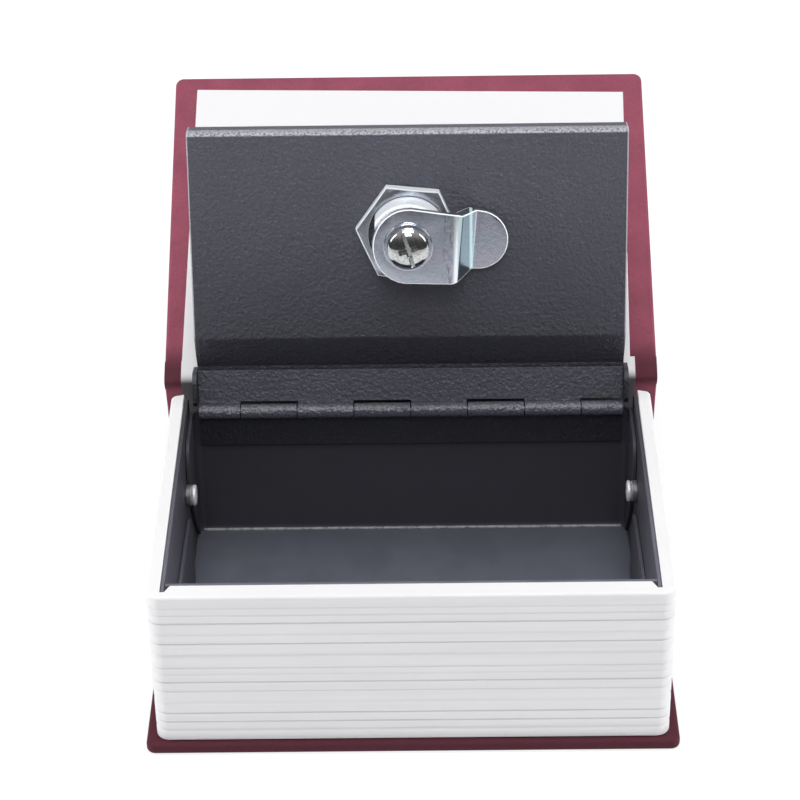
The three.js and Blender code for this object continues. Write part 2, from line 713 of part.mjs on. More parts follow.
// The plug turns in the barrel. Its square tail carries the washer and the cam, and its
// outer face has the keyway
function lockPlug() {
  const tailTop = camWasherLow - SEAT_GAP;
  const half = PLUG_TAIL / 2;
  const round = roundUp(PLUG_R, bezelFace, BARREL_RISE);
  const tail = boxBetween([-half, -half, BARREL_RISE - BITE], [half, half, tailTop]);
  const keyway = boxBetween(
    [-KEYWAY_LENGTH / 2, -KEYWAY_WIDTH / 2, bezelFace - CUT_MARGIN],
    [KEYWAY_LENGTH / 2, KEYWAY_WIDTH / 2, bezelFace + KEYWAY_DEPTH],
  );
  const screwTop = screwHeadLow + CUT_MARGIN;
  const screwFoot = screwHeadLow - SCREW_LENGTH - SEAT_GAP;
  const screwHole = roundUp(SCREW_SHANK_R + SEAT_GAP, screwFoot, screwTop, SMALL_ROUND_SEGMENTS);
  return cut(join(round, tail), keyway, screwHole);
}

function stopWasher() {
  const high = washerLow + STOP_WASHER_THICKNESS;
  return cut(roundUp(STOP_WASHER_R, washerLow, high), squareHole(washerLow, high));
}

// The cam is cranked towards the lid between two bends, so that its round tip comes
// close under the ledge when the lid is shut
function cam() {
  const middle = CAM_THICKNESS / 2;
  const tipHeight = camLow + middle - CAM_CRANK;
  const line = [
    [-CAM_END_R - CUT_MARGIN, camLow + middle],
    [CAM_BEND_AT, camLow + middle],
    [CAM_TIP_AT, tipHeight],
    [CAM_TIP_CENTRE + CAM_TIP_R + CUT_MARGIN, tipHeight],
  ];
  const halfWidth = CAM_END_R + CUT_MARGIN;
  const sideView = prismUp(bentSheet(line, CAM_THICKNESS, CAM_BEND_R), -halfWidth, halfWidth);
  const cranked = sideView.rotateX(Math.PI / 2);
  const quarter = Math.PI / 2;
  const neck = CAM_NECK_WIDTH / 2;
  const plan = shapeOf([
    ...arc(0, 0, CAM_END_R, quarter, 3 * quarter, ROUND_SEGMENTS / 2),
    [CAM_BEND_AT, -neck],
    ...arc(CAM_TIP_CENTRE, 0, CAM_TIP_R, -quarter, quarter, ROUND_SEGMENTS / 2),
    [CAM_BEND_AT, neck],
  ]);
  const low = tipHeight - CAM_THICKNESS;
  const high = camLow + 2 * CAM_THICKNESS;
  return cut(common(cranked, prismUp(plan, low, high)), squareHole(camLow, camLow + CAM_THICKNESS));
}

function camWasher() {
  const high = camWasherLow + CAM_WASHER_THICKNESS;
  const hole = roundUp(SCREW_SHANK_R + SEAT_GAP, camWasherLow - CUT_MARGIN, high + CUT_MARGIN);
  return cut(roundUp(CAM_WASHER_R, camWasherLow, high), hole);
}

// A domed pan head on a plain shank
function camScrew() {
  const profile = [
    new THREE.Vector2(0, screwHeadLow - SCREW_LENGTH),
    new THREE.Vector2(SCREW_SHANK_R, screwHeadLow - SCREW_LENGTH),
    new THREE.Vector2(SCREW_SHANK_R, screwHeadLow),
    new THREE.Vector2(SCREW_HEAD_R, screwHeadLow),
  ];
  for (let step = 0; step <= DOME_STEPS; step += 1) {
    const angle = (Math.PI / 2) * (step / DOME_STEPS);
    const radius = step === DOME_STEPS ? 0 : SCREW_HEAD_R * Math.cos(angle);
    const height = screwHeadLow + SCREW_EDGE + (SCREW_HEAD_HEIGHT - SCREW_EDGE) * Math.sin(angle);
    profile.push(new THREE.Vector2(radius, height));
  }
  return new THREE.LatheGeometry(profile, ROUND_SEGMENTS).rotateX(Math.PI / 2);
}

// The spine is a shallow arch between the joints, standing clear of the box, and both
// its faces end level
function archedSheet(innerOffset, thickness, half) {
  const chord = spineTop - spineBase;
  const radius = (chord * chord / 4 + SPINE_BULGE * SPINE_BULGE) / (2 * SPINE_BULGE);
  const centreY = coverHingeY + SPINE_BULGE - radius;
  const centreZ = (spineTop + spineBase) / 2;
  const inner = radius + innerOffset;
  const outer = inner + thickness;
  const innerReach = Math.asin(chord / 2 / inner);
  const outerReach = Math.asin(chord / 2 / outer);
  return prismAcross(shapeOf([
    ...arc(centreY, centreZ, outer, -outerReach, outerReach, SPINE_STEPS),
    ...arc(centreY, centreZ, inner, innerReach, -innerReach, SPINE_STEPS),
  ]), -half, half);
}

function spineBoard() {
  return archedSheet(0, SPINE_THICKNESS, COVER_LENGTH / 2);
}

// The white lining runs down the inside of the spine from the endpaper
function spineLining() {
  return archedSheet(-SHEET_GAP - PAPER_THICKNESS, PAPER_THICKNESS, COVER_LENGTH / 2 - ENDPAPER_SIDE_MARGIN);
}

// The covering cloth spans the back joint under the spine's foot
function backJointCloth() {
  const half = COVER_LENGTH / 2;
  return boxBetween(
    [-half, coverRear + SHEET_GAP, SHEET_GAP],
    [half, coverHingeY + SPINE_THICKNESS, CLOTH_THICKNESS],
  );
}

// Front cover pieces are drawn shut, about the cover's hinge line
function frontBoard() {
  return board(-JOINT_WIDTH - COVER_DEPTH, -JOINT_WIDTH, SEAT_GAP, SEAT_GAP + BOARD_THICKNESS);
}

function frontJointCloth() {
  const half = COVER_LENGTH / 2;
  const low = -CLOSED_GAP;
  return boxBetween([-half, -JOINT_WIDTH + SEAT_GAP, low], [half, -CLOTH_END_GAP, low + CLOTH_THICKNESS]);
}

function frontEndpaper() {
  const half = COVER_LENGTH / 2 - ENDPAPER_SIDE_MARGIN;
  const front = -JOINT_WIDTH - COVER_DEPTH + ENDPAPER_FORE_MARGIN;
  const rear = -JOINT_WIDTH - ENDPAPER_JOINT_MARGIN;
  const sheet = boxBetween([-half, front, -PAPER_THICKNESS], [half, rear, 0]);
  const middle = (front + rear) / 2;
  return sheet.translate(0, -middle, 0).rotateZ(ENDPAPER_SKEW).translate(-ENDPAPER_ASIDE, middle, 0);
}

function piece(parent, name, geometry, look) {
  const mesh = new THREE.Mesh(geometry, look);
  mesh.name = name;
  parent.add(mesh);
  return mesh;
}

function leatherette() {
  return material(LEATHERETTE, 0.7, 0);
}

function powderCoat() {
  return material(POWDER_GREY, 0.45, 0.2);
}

function zincPlate() {
  return material(ZINC, 0.3, 1);
}

function addBookCase(safe) {
  piece(safe, 'back_cover', board(coverFront, coverRear, 0, BOARD_THICKNESS), leatherette());
  piece(safe, 'spine', spineBoard(), leatherette());
  piece(safe, 'spine_lining', spineLining(), material(PAPER_WHITE, 0.8, 0));
  piece(safe, 'back_joint_cloth', backJointCloth(), leatherette());
}

function addBox(safe) {
  piece(safe, 'page_block', pageBlock(), material(PLASTIC_WHITE, 0.4, 0));
  piece(safe, 'tub_floor', tubFloor(), powderCoat());
  piece(safe, 'tub_rear_wall', tubRearWall(), powderCoat());
  piece(safe, 'lid_ledge', lidLedge(), powderCoat());
  for (const [name, side] of [['left', -1], ['right', 1]]) {
    piece(safe, `tub_side_${name}`, tubSide(side), powderCoat());
    piece(safe, `rivet_${name}`, rivet(side), material(ALUMINIUM, 0.35, 1));
  }
}

function addHinge(safe, lid) {
  const fixedLeaf = piece(safe, 'hinge_leaf_fixed', hingeLeaf(FIXED_LEAF_WIDTH), powderCoat());
  fixedLeaf.position.set(0, hingeY, hingeZ);
  const pin = roundAcross(HINGE_PIN_R, -hingeHalf, hingeHalf, 0, 0);
  piece(safe, 'hinge_pin', pin, zincPlate()).position.set(0, hingeY, hingeZ);
  const shutLeaf = hingeLeaf(MOVING_LEAF_WIDTH).rotateZ(Math.PI).rotateX(-Math.PI / 2);
  piece(lid, 'hinge_leaf_moving', shutLeaf, powderCoat());
}

function addLock(lid) {
  const lock = new THREE.Group();
  lock.position.set(0, -lockFromHinge, panelInner);
  lock.rotation.x = Math.PI;
  piece(lock, 'lock_body', lockBody(), zincPlate());
  piece(lock, 'lock_nut', lockNut(), zincPlate()).rotation.z = NUT_TURN;
  const turning = new THREE.Group();
  turning.rotation.z = CAM_REST_TURN;
  piece(turning, 'lock_plug', lockPlug(), zincPlate());
  piece(turning, 'stop_washer', stopWasher(), zincPlate());
  piece(turning, 'cam', cam(), zincPlate());
  piece(turning, 'cam_washer', camWasher(), zincPlate());
  piece(turning, 'cam_screw', camScrew(), material(CHROME, 0.12, 1));
  lock.add(turning);
  lid.add(lock);
}

function addFrontCover(cover) {
  piece(cover, 'front_cover', frontBoard(), leatherette());
  piece(cover, 'front_joint_cloth', frontJointCloth(), leatherette());
  piece(cover, 'front_endpaper', frontEndpaper(), material(PAPER_WHITE, 0.8, 0));
}

function buildSafe() {
  const safe = new THREE.Group();
  safe.name = 'book_safe';
  addBookCase(safe);
  addBox(safe);

  const lid = new THREE.Group();
  lid.position.set(0, hingeY, hingeZ);
  lid.rotation.x = -LID_OPEN;
  piece(lid, 'lid_panel', lidPanel(), powderCoat());
  addHinge(safe, lid);
  addLock(lid);
  safe.add(lid);

  const cover = new THREE.Group();
  cover.position.set(0, coverHingeY, coverHingeZ);
  cover.rotation.x = -COVER_OPEN;
  addFrontCover(cover);
  safe.add(cover);
  return safe;
}

export default buildSafe();
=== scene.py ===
"""The looks of a book diversion safe: a steel cash box in a moulded page block, inside
the case of a hardback book. Run as a script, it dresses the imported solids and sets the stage."""

import json
import math

import bmesh
import bpy
from bpy.props import FloatProperty, FloatVectorProperty, IntProperty, PointerProperty
from mathutils import Matrix, Vector


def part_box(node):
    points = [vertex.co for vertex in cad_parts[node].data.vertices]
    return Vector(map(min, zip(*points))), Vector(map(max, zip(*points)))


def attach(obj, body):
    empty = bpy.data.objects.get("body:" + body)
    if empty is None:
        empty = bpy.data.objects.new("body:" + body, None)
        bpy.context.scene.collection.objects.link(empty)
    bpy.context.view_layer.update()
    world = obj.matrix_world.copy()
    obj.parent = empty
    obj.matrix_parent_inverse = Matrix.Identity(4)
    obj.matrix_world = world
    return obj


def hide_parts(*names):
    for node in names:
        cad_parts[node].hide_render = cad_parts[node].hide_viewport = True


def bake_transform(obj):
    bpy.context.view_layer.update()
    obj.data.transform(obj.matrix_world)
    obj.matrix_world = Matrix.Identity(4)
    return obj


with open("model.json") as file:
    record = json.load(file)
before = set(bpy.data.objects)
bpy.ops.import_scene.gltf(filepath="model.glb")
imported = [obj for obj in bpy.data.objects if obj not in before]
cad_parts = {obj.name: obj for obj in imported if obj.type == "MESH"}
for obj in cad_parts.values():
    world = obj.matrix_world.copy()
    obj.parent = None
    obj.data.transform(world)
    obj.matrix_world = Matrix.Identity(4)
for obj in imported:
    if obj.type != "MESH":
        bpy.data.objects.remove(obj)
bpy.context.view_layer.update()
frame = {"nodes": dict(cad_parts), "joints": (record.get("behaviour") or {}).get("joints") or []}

bl_info = {
    "name": "Book Safe",
    "version": (1, 0, 0),
    "blender": (4, 5, 0),
    "location": "View3D > Sidebar > Book Safe",
    "description": "Dresses the solids of a book diversion safe and sets its stage",
    "category": "Object",
}

MM = 0.001
DOUBLES = 0.001 * MM
SHEET_GAP = 0.1 * MM
SPINE_THICK = 2 * MM
LINING_ASIDE = 1.2 * MM
INNER_CORNER = 0.3 * MM

# Places read from the solids, in metres
BACK_LOW, BACK_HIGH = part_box("back_cover")
LID_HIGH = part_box("lid_panel")[1]
(_, BLOCK_FRONT, BLOCK_FOOT), (BLOCK_HALF, BLOCK_REAR, BLOCK_TOP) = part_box("page_block")
PLATE_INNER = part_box("tub_side_right")[0].x
SPINE_LOW, SPINE_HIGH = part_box("spine")
LINING_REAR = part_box("spine_lining")[1].y
LEAF_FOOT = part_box("hinge_leaf_fixed")[0].z
PIN_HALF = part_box("hinge_pin")[1].x
RIVET_LOW, RIVET_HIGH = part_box("rivet_right")
JOINTS = {joint["name"]: joint for joint in frame["joints"]}
COVER_HINGE = Vector(JOINTS["cover_hinge"]["pos_m"])
COVER_OPEN = math.radians(JOINTS["cover_hinge"]["range_deg"][1])
LID_HINGE = Vector(JOINTS["lid_hinge"]["pos_m"])
LID_OPEN = math.radians(JOINTS["lid_hinge"]["range_deg"][1])
LOCK_POINT = Vector(JOINTS["lock_turn"]["pos_m"])
CAM_TURN = math.radians(-4.9)
NUT_TURNS = [math.radians(turn - 5.8) for turn in (30, 90, 150)]

# Frames in which the turned pieces are drawn: shut, about their hinge lines, and the
# lock about its own axis with +Z out of the lid's inner face
SHUT_COVER = Matrix.Translation(COVER_HINGE) @ Matrix.Rotation(-COVER_OPEN, 4, "X")
LOCK = Matrix.Translation(LOCK_POINT) @ Matrix.Rotation(math.pi - LID_OPEN, 4, "X")
TURNED_LOCK = LOCK @ Matrix.Rotation(CAM_TURN, 4, "Z")

# The camera that the photograph was taken with, in metres and degrees
CAMERA_PLACE = Vector((0.00391, -0.46415, 0.37358))
CAMERA_PITCH = math.radians(33.675)
CAMERA_YAW = math.radians(-0.73)
CAMERA_ROLL = math.radians(-1.0)
CAMERA_LENS = 116.98
CAMERA_SENSOR = 36.0


def length_field(name, description, millimetres):
    """A size in the sidebar."""
    return FloatProperty(name=name, description=description, default=millimetres * MM, unit="LENGTH")


def angle_field(name, description, degrees):
    """A direction in the sidebar."""
    return FloatProperty(
        name=name, description=description, default=math.radians(degrees), subtype="ANGLE")


def color_field(name, description, default):
    """A colour in the sidebar."""
    return FloatVectorProperty(
        name=name, description=description, default=default, size=3, subtype="COLOR", min=0, max=1)


def power_field(name, description, watts):
    """A lamp's strength in the sidebar."""
    return FloatProperty(name=name, description=description, default=watts, min=0, unit="POWER")


class CaseSettings(bpy.types.PropertyGroup):
    """Sizes and colours of the book case."""
    board_corner: length_field("Board corner", "Corner radius of a cover board", 2)
    board_edge: length_field("Board edge", "Rounding of a board's covered edges", 0.8)
    board_gap: length_field("Board gap", "Gap between the shut cover and its hinge line", 0.3)
    joint_width: length_field("Joint", "Width of the cloth joint beside the spine", 2.6)
    side_margin: length_field("Side margin", "Cloth left bare beside the endpaper", 5.1)
    fore_margin: length_field("Fore margin", "Cloth left bare at the fore edge", 4.7)
    aside: length_field("Aside", "How far the endpaper is glued off the middle", 0.4)
    skew: angle_field("Skew", "How far the endpaper is glued askew", 1.1)
    paper: length_field("Paper", "Thickness of the endpaper", 0.3)
    cloth_color: color_field("Cloth", "Colour of the covering cloth", (0.288, 0.075, 0.113))
    paper_color: color_field("Endpaper", "Colour of the endpapers", (0.81, 0.805, 0.815))


class BlockSettings(bpy.types.PropertyGroup):
    """Sizes and colour of the moulded page block."""
    wall: length_field("Wall", "Thickness of the thin wall", 1.8)
    corner: length_field("Corner", "Radius of the two front corners", 3)
    end_round: length_field("End", "Rounding of the rear ends", 1.5)
    rim_height: length_field("Rim height", "Height of the rim", 3)
    rim_front: length_field("Front rim", "Width of the front rim", 4.3)
    rim_side: length_field("Side rim", "Width of the side rims", 3)
    rim_round: length_field("Rim edge", "Rounding of the rim's edges", 0.6)
    notch: length_field("Notch", "Reach of the notch at each inner corner", 2.1)
    groove: FloatProperty(
        name="Groove", description="Depth of the grooves, as a share of their own", default=1.0,
        min=0)
    foot: length_field("Foot", "Chamfer of the foot", 0.3)
    color: color_field("Plastic", "Colour of the page block", (0.84, 0.835, 0.84))


class SteelSettings(bpy.types.PropertyGroup):
    """Sizes and colours of the steel box, lid and hinge."""
    edge: length_field("Edge", "Rounding of cut sheet edges", 0.12)
    knuckles: IntProperty(name="Knuckles", description="Number of hinge knuckles", default=8, min=2)
    end_knuckle: length_field("End knuckle", "Length of an end knuckle", 9.7)
    knuckle_radius: length_field("Knuckle", "Radius of the knuckles", 1.7)
    slot: length_field("Slot", "Gap between knuckles", 0.3)
    leaf: length_field("Leaf", "Thickness of the hinge leaves", 0.6)
    coat_color: color_field("Powder coat", "Colour of the powder coat", (0.080, 0.080, 0.103))
    inner_color: color_field("Inner coat", "Colour of the coat inside the box", (0.044, 0.043, 0.053))


class LockSettings(bpy.types.PropertyGroup):
    """Sizes and colours of the cam lock and the rivets."""
    barrel: length_field("Barrel", "Radius of the barrel", 8.7)
    flats: length_field("Flats", "Width over the barrel's flats", 14.7)
    rise: length_field("Rise", "Height of the barrel over the lid", 10.2)
    neck: FloatProperty(
        name="Neck", description="Width of the cam's neck against the solid's", default=1.11, min=1)
    head: length_field("Head", "Radius of the screw head", 4.65)
    head_height: length_field("Head height", "Height of the screw head", 2.2)
    slot_turn: angle_field("Slot turn", "Direction of the screw's slot", 111.6)
    zinc_color: color_field("Zinc", "Colour of the zinc plate", (0.74, 0.73, 0.82))


class StageSettings(bpy.types.PropertyGroup):
    """The strength of the lights."""
    sky: FloatProperty(
        name="Sky", description="Strength of the soft light all round", default=0.42, min=0)
    key: power_field("Key", "Power of the overhead soft box", 3.7)
    side: power_field("Side", "Power of each side soft box", 1.6)
    low: power_field("Low", "Power of each low side lamp", 2.2)
    fill: power_field("Fill", "Power of the front soft box", 5.0)


class Tone:
    """A number that varies over a surface. Sums with it add Math nodes."""

    def __init__(self, look, socket):
        self.look = look
        self.socket = socket

    def math(self, operation, first, second=0.0):
        node = self.look.node("Math", {"operation": operation}, {0: first, 1: second})
        return Tone(self.look, node.outputs[0])

    def __add__(self, other):
        return self.math("ADD", self, other)

    def __radd__(self, other):
        return self.math("ADD", other, self)

    def __sub__(self, other):
        return self.math("SUBTRACT", self, other)

    def __rsub__(self, other):
        return self.math("SUBTRACT", other, self)

    def __mul__(self, other):
        return self.math("MULTIPLY", self, other)

    def __rmul__(self, other):
        return self.math("MULTIPLY", other, self)

    def __abs__(self):
        return self.math("ABSOLUTE", self)

    def ramp(self, low, high):
        """0 below low, 1 above high, smooth between."""
        node = self.look.node("MapRange", {"interpolation_type": "SMOOTHSTEP"}, {
            "Value": self, "From Min": low, "From Max": high})
        return Tone(self.look, node.outputs[0])


class Graph:
    """A node tree that is filled from empty."""

    def __init__(self, tree):
        self.tree = tree
        tree.nodes.clear()

    def node(self, kind, settings, sockets):
        """A node of one kind, its settings set first, then the values or links of its sockets."""
        node = self.tree.nodes.new("ShaderNode" + kind)
        for key, value in settings.items():
            setattr(node, key, value)
        for key, value in sockets.items():
            self.plug(node.inputs[key], value)
        return node

    def plug(self, target, value):
        """Sets a socket to a value or links it."""
        if isinstance(value, Tone):
            self.tree.links.new(value.socket, target)
        elif isinstance(value, bpy.types.NodeSocket):
            self.tree.links.new(value, target)
        else:
            target.default_value = value

    def part(self, vector, name):
        """One coordinate of a vector."""
        return Tone(self, self.node("SeparateXYZ", {}, {0: vector}).outputs[name])


class Look(Graph):
    """One procedural material with a principled shader."""

    def __init__(self, name, **sockets):
        self.material = bpy.data.materials.new(name)
        self.material.use_nodes = True
        super().__init__(self.material.node_tree)
        self.shader = self.node("BsdfPrincipled", {}, sockets)
        self.output = self.node("OutputMaterial", {}, {"Surface": self.shader.outputs[0]})
        self.place = self.node("TexCoord", {}, {}).outputs["Object"]

    def scaled(self, x=1.0, y=1.0, z=1.0):
        """The object's own place, stretched along its axes."""
        node = self.node("Mapping", {}, {"Vector": self.place, "Scale": (x, y, z)})
        return node.outputs[0]

    def noise(self, size, detail=3.0, roughness=0.5, place=None):
        """Soft mottling whose features are about size metres across."""
        node = self.node("TexNoise", {}, {
            "Vector": place or self.place, "Scale": 1 / size, "Detail": detail,
            "Roughness": roughness})
        return Tone(self, node.outputs["Fac"])

    def cells(self, size, smooth):
        """Distance to the nearest of scattered points about size metres apart, smoothed."""
        node = self.node("TexVoronoi", {"feature": "SMOOTH_F1"}, {
            "Vector": self.place, "Scale": 1 / size, "Smoothness": smooth})
        return Tone(self, node.outputs["Distance"])

    def axis(self, name):
        """One coordinate of the object's own place, in millimetres."""
        return self.part(self.place, name) * (1 / MM)

    def mix(self, amount, first, second):
        """A colour between two others."""
        node = self.node("Mix", {"data_type": "RGBA"}, {"Factor": amount, 6: first, 7: second})
        return node.outputs[2]

    def bump(self, height, depth, strength=1.0, after=None):
        """A relief depth metres high, on top of an earlier one."""
        sockets = {"Height": height, "Distance": depth, "Strength": strength}
        if after is not None:
            sockets["Normal"] = after
        return self.node("Bump", {}, sockets).outputs[0]

    def wear(self, **sockets):
        """Feeds the shader what varies over the surface."""
        for key, value in sockets.items():
            self.plug(self.shader.inputs[key.replace("_", " ").title()], value)

    def finish(self, base, roughness, relief):
        """Feeds the shader its colour, roughness and relief, and gives the material."""
        self.wear(base_color=base, roughness=roughness, normal=relief)
        return self.material


def rgba(color, gain=1.0):
    """A colour made lighter or darker, with full cover."""
    return (*(gain * part for part in color), 1.0)


def book_cloth(settings):
    """Grained leatherette cloth, worn paler in patches, with painted shade low down and in the fold.
    """
    color = settings.cloth_color
    look = Look("leatherette_cloth", **{
        "Sheen Weight": 0.05, "Sheen Roughness": 0.45, "Specular IOR Level": 0.1})
    look.shader.inputs["Sheen Tint"].default_value = (0.9, 0.55, 0.65, 1.0)
    patches = look.noise(9 * MM, 4.0, 0.6)
    grain = look.cells(0.42 * MM, 0.6)
    threads = look.noise(0.35 * MM, 2.0, 0.5, look.scaled(1.0, 0.35, 1.0))
    flecks = look.noise(1.6 * MM, 3.0, 0.7).ramp(0.55, 0.75)
    base = look.mix(patches.ramp(0.3, 0.7), rgba(color, 0.89), rgba(color, 1.11))
    base = look.mix(threads.ramp(0.4, 0.7) * 0.5, base, rgba(color, 0.8))
    base = look.mix(flecks * 0.35, base, rgba(color, 0.6))
    height = look.axis("Z")
    # painted shade: the cloth darker low down, below 14 mm and most below 3 mm
    base = look.mix(height.ramp(3.0, 14.0), rgba(color, 0.31), base)
    # painted shade in the fold along the cover's hinge line
    base = look.mix(abs(height - COVER_HINGE.z / MM).ramp(1.0, 5.0), rgba(color, 0.36), base)
    relief = look.bump(grain, 0.10 * MM, 0.55)
    relief = look.bump(threads, 0.05 * MM, 0.5, relief)
    return look.finish(base, 0.5 + patches * 0.2, relief)


def end_paper(settings):
    """Plain white paper with a faint tooth, with painted shade where it lies in the gap behind the
    box.
    """
    color = settings.paper_color
    look = Look("white_endpaper", **{"Specular IOR Level": 0.3})
    fibres = look.noise(0.25 * MM, 4.0, 0.6)
    waves = look.noise(16 * MM, 2.0, 0.5)
    base = look.mix(fibres.ramp(0.35, 0.65), rgba(color, 0.985), rgba(color, 1.0))
    # painted shade: the paper darker low down and far back, in the gap behind the box
    gap_shade = look.axis("Z").ramp(43.0, 41.0) * look.axis("Y").ramp(36.0, 38.0)
    base = look.mix(gap_shade, base, rgba(color, 0.12))
    relief = look.bump(fibres, 0.015 * MM, 0.4)
    relief = look.bump(waves, 0.4 * MM, 0.12, relief)
    return look.finish(base, 0.62 + fibres * 0.12, relief)


def page_plastic(settings):
    """Satin white moulded plastic that lets a little light in, a touch greyer in streaks, with
    painted shade in its grooves.
    """
    color = settings.color
    look = Look("moulded_plastic", **{
        "Specular IOR Level": 0.35, "Subsurface Weight": 0.25, "Subsurface Radius": (1.0, 1.0, 1.0),
        "Subsurface Scale": 0.25 * MM})
    flow = look.noise(14 * MM, 2.0, 0.5, look.scaled(0.25, 0.25, 1.0))
    skin = look.noise(0.6 * MM, 3.0, 0.55)
    streaks = look.noise(1.1 * MM, 2.0, 0.5, look.scaled(0.02, 0.02, 1.0))
    base = look.mix(flow.ramp(0.3, 0.7), rgba(color, 0.98), rgba(color, 1.01))
    base = look.mix(streaks.ramp(0.4, 0.7) * 0.4, base, rgba(color, 0.92))
    # painted shade in the grooves, from the block's groove attribute
    groove = Tone(look, look.node("Attribute", {"attribute_name": "groove"}, {}).outputs["Fac"])
    base = look.mix(groove.ramp(0.0, 0.6), base, rgba(color, 0.74))
    relief = look.bump(skin, 0.005 * MM, 0.4)
    return look.finish(base, 0.4 + flow * 0.12, relief)


def powder_coat(
        settings, name="hammered_powder_coat", foot=40.0, top=100.0, low_shade=0.45, knuckles=False):
    """Dark grey powder coat with a hammered skin and fine pale specks, with painted shade low down
    and under the joggle, and painted highlights along the lid's top bend and side edges.
    """
    color = settings.coat_color
    look = Look(name, **{"Specular IOR Level": 0.8 if knuckles else 0.5})
    peel = look.noise(0.5 * MM, 2.0, 0.55)
    dimples = look.cells(0.95 * MM, 0.7)
    shade = look.noise(22 * MM, 3.0, 0.5)
    specks = look.noise(0.34 * MM, 2.0, 0.6).ramp(0.56, 0.70)
    pits = peel.ramp(0.52, 0.30)
    height = look.axis("Z")
    # painted shade: the coat darker towards its foot, low_shade of its colour there
    rise = height.ramp(foot, top)
    base = look.mix(rise, rgba(color, low_shade), rgba(color))
    # painted shade on the joggle under the panel, which lies in shade
    base = look.mix(height.ramp(47.5, 46.5) * rise.ramp(0.5, 0.0), base, rgba(color, 0.2))
    base = look.mix(shade.ramp(0.3, 0.7) * 0.12, base, rgba(color, 0.4))
    base = look.mix(pits * 0.35, base, rgba(color, 0.4))
    base = look.mix(specks * (rise * 0.4), base, rgba(color, 2.4))
    # painted highlights: a speckled pale band on the bend along the panel's top, and a pale line
    # along its two side edges
    lid_top = LID_HIGH.z / MM
    bend_highlight = height.ramp(lid_top - 0.66, lid_top - 0.36) * (peel.ramp(0.40, 0.55) * 0.7 + 0.3)
    base = look.mix(bend_highlight, base, rgba((0.46, 0.46, 0.50)))
    edge = abs(look.axis("X")).ramp(48.75, 48.95) * height.ramp(52.0, 60.0)
    base = look.mix(edge, base, rgba((0.50, 0.48, 0.52)))
    relief = look.bump(dimples, 0.28 * MM, 0.7)
    relief = look.bump(peel, 0.24 * MM, 1.0, relief)
    gloss = 0.36
    if knuckles:
        away = look.axis("Y") - LID_HINGE.y / MM
        above = height - LID_HINGE.z / MM
        gloss = (away * away + above * above).ramp(3.2, 4.4) * 0.26 + 0.10
    return look.finish(base, peel * 0.12 + gloss, relief)


def inner_coat(settings):
    """The smoother coat inside the box, darker than outside for painted shade, with painted light and
    shade on its sheets: the upright ones darker towards the back and the floor lighter and bluer
    towards the front.
    """
    color = settings.inner_color
    look = Look("inner_powder_coat", **{"Specular IOR Level": 0.3})
    peel = look.noise(0.6 * MM, 2.0, 0.5)
    shade = look.noise(9 * MM, 3.0, 0.5)
    # painted light and shade: upright sheets from 1.1 of the colour at the back to 3.6 at the front,
    # the floor lighter and bluer at the front
    low = look.axis("Z").ramp(5.0, 3.8)
    front = look.axis("Y").ramp(34.0, -36.0)
    walls = look.mix(front, rgba(color, 1.1), rgba(color, 3.6))
    floor = look.mix(front, rgba((0.098, 0.103, 0.130)), rgba((0.225, 0.245, 0.305)))
    base = look.mix(low, walls, floor)
    base = look.mix(shade.ramp(0.35, 0.7) * 0.2, base, rgba(color, 0.9))
    relief = look.bump(peel, 0.06 * MM, 0.6)
    return look.finish(base, 0.42 + peel * 0.12, relief)


def pale_bend(settings):
    """A coat that turns pale in blotches, for a line along a bend."""
    look = Look("pale_bend_coat", **{"Specular IOR Level": 0.6})
    blotches = look.noise(1.8 * MM, 4.0, 0.65)
    base = look.mix(blotches.ramp(0.3, 0.6), rgba(settings.coat_color, 1.3), rgba((0.30, 0.30, 0.32)))
    return look.finish(base, 0.3 + blotches * 0.2, look.bump(blotches, 0.05 * MM, 0.5))


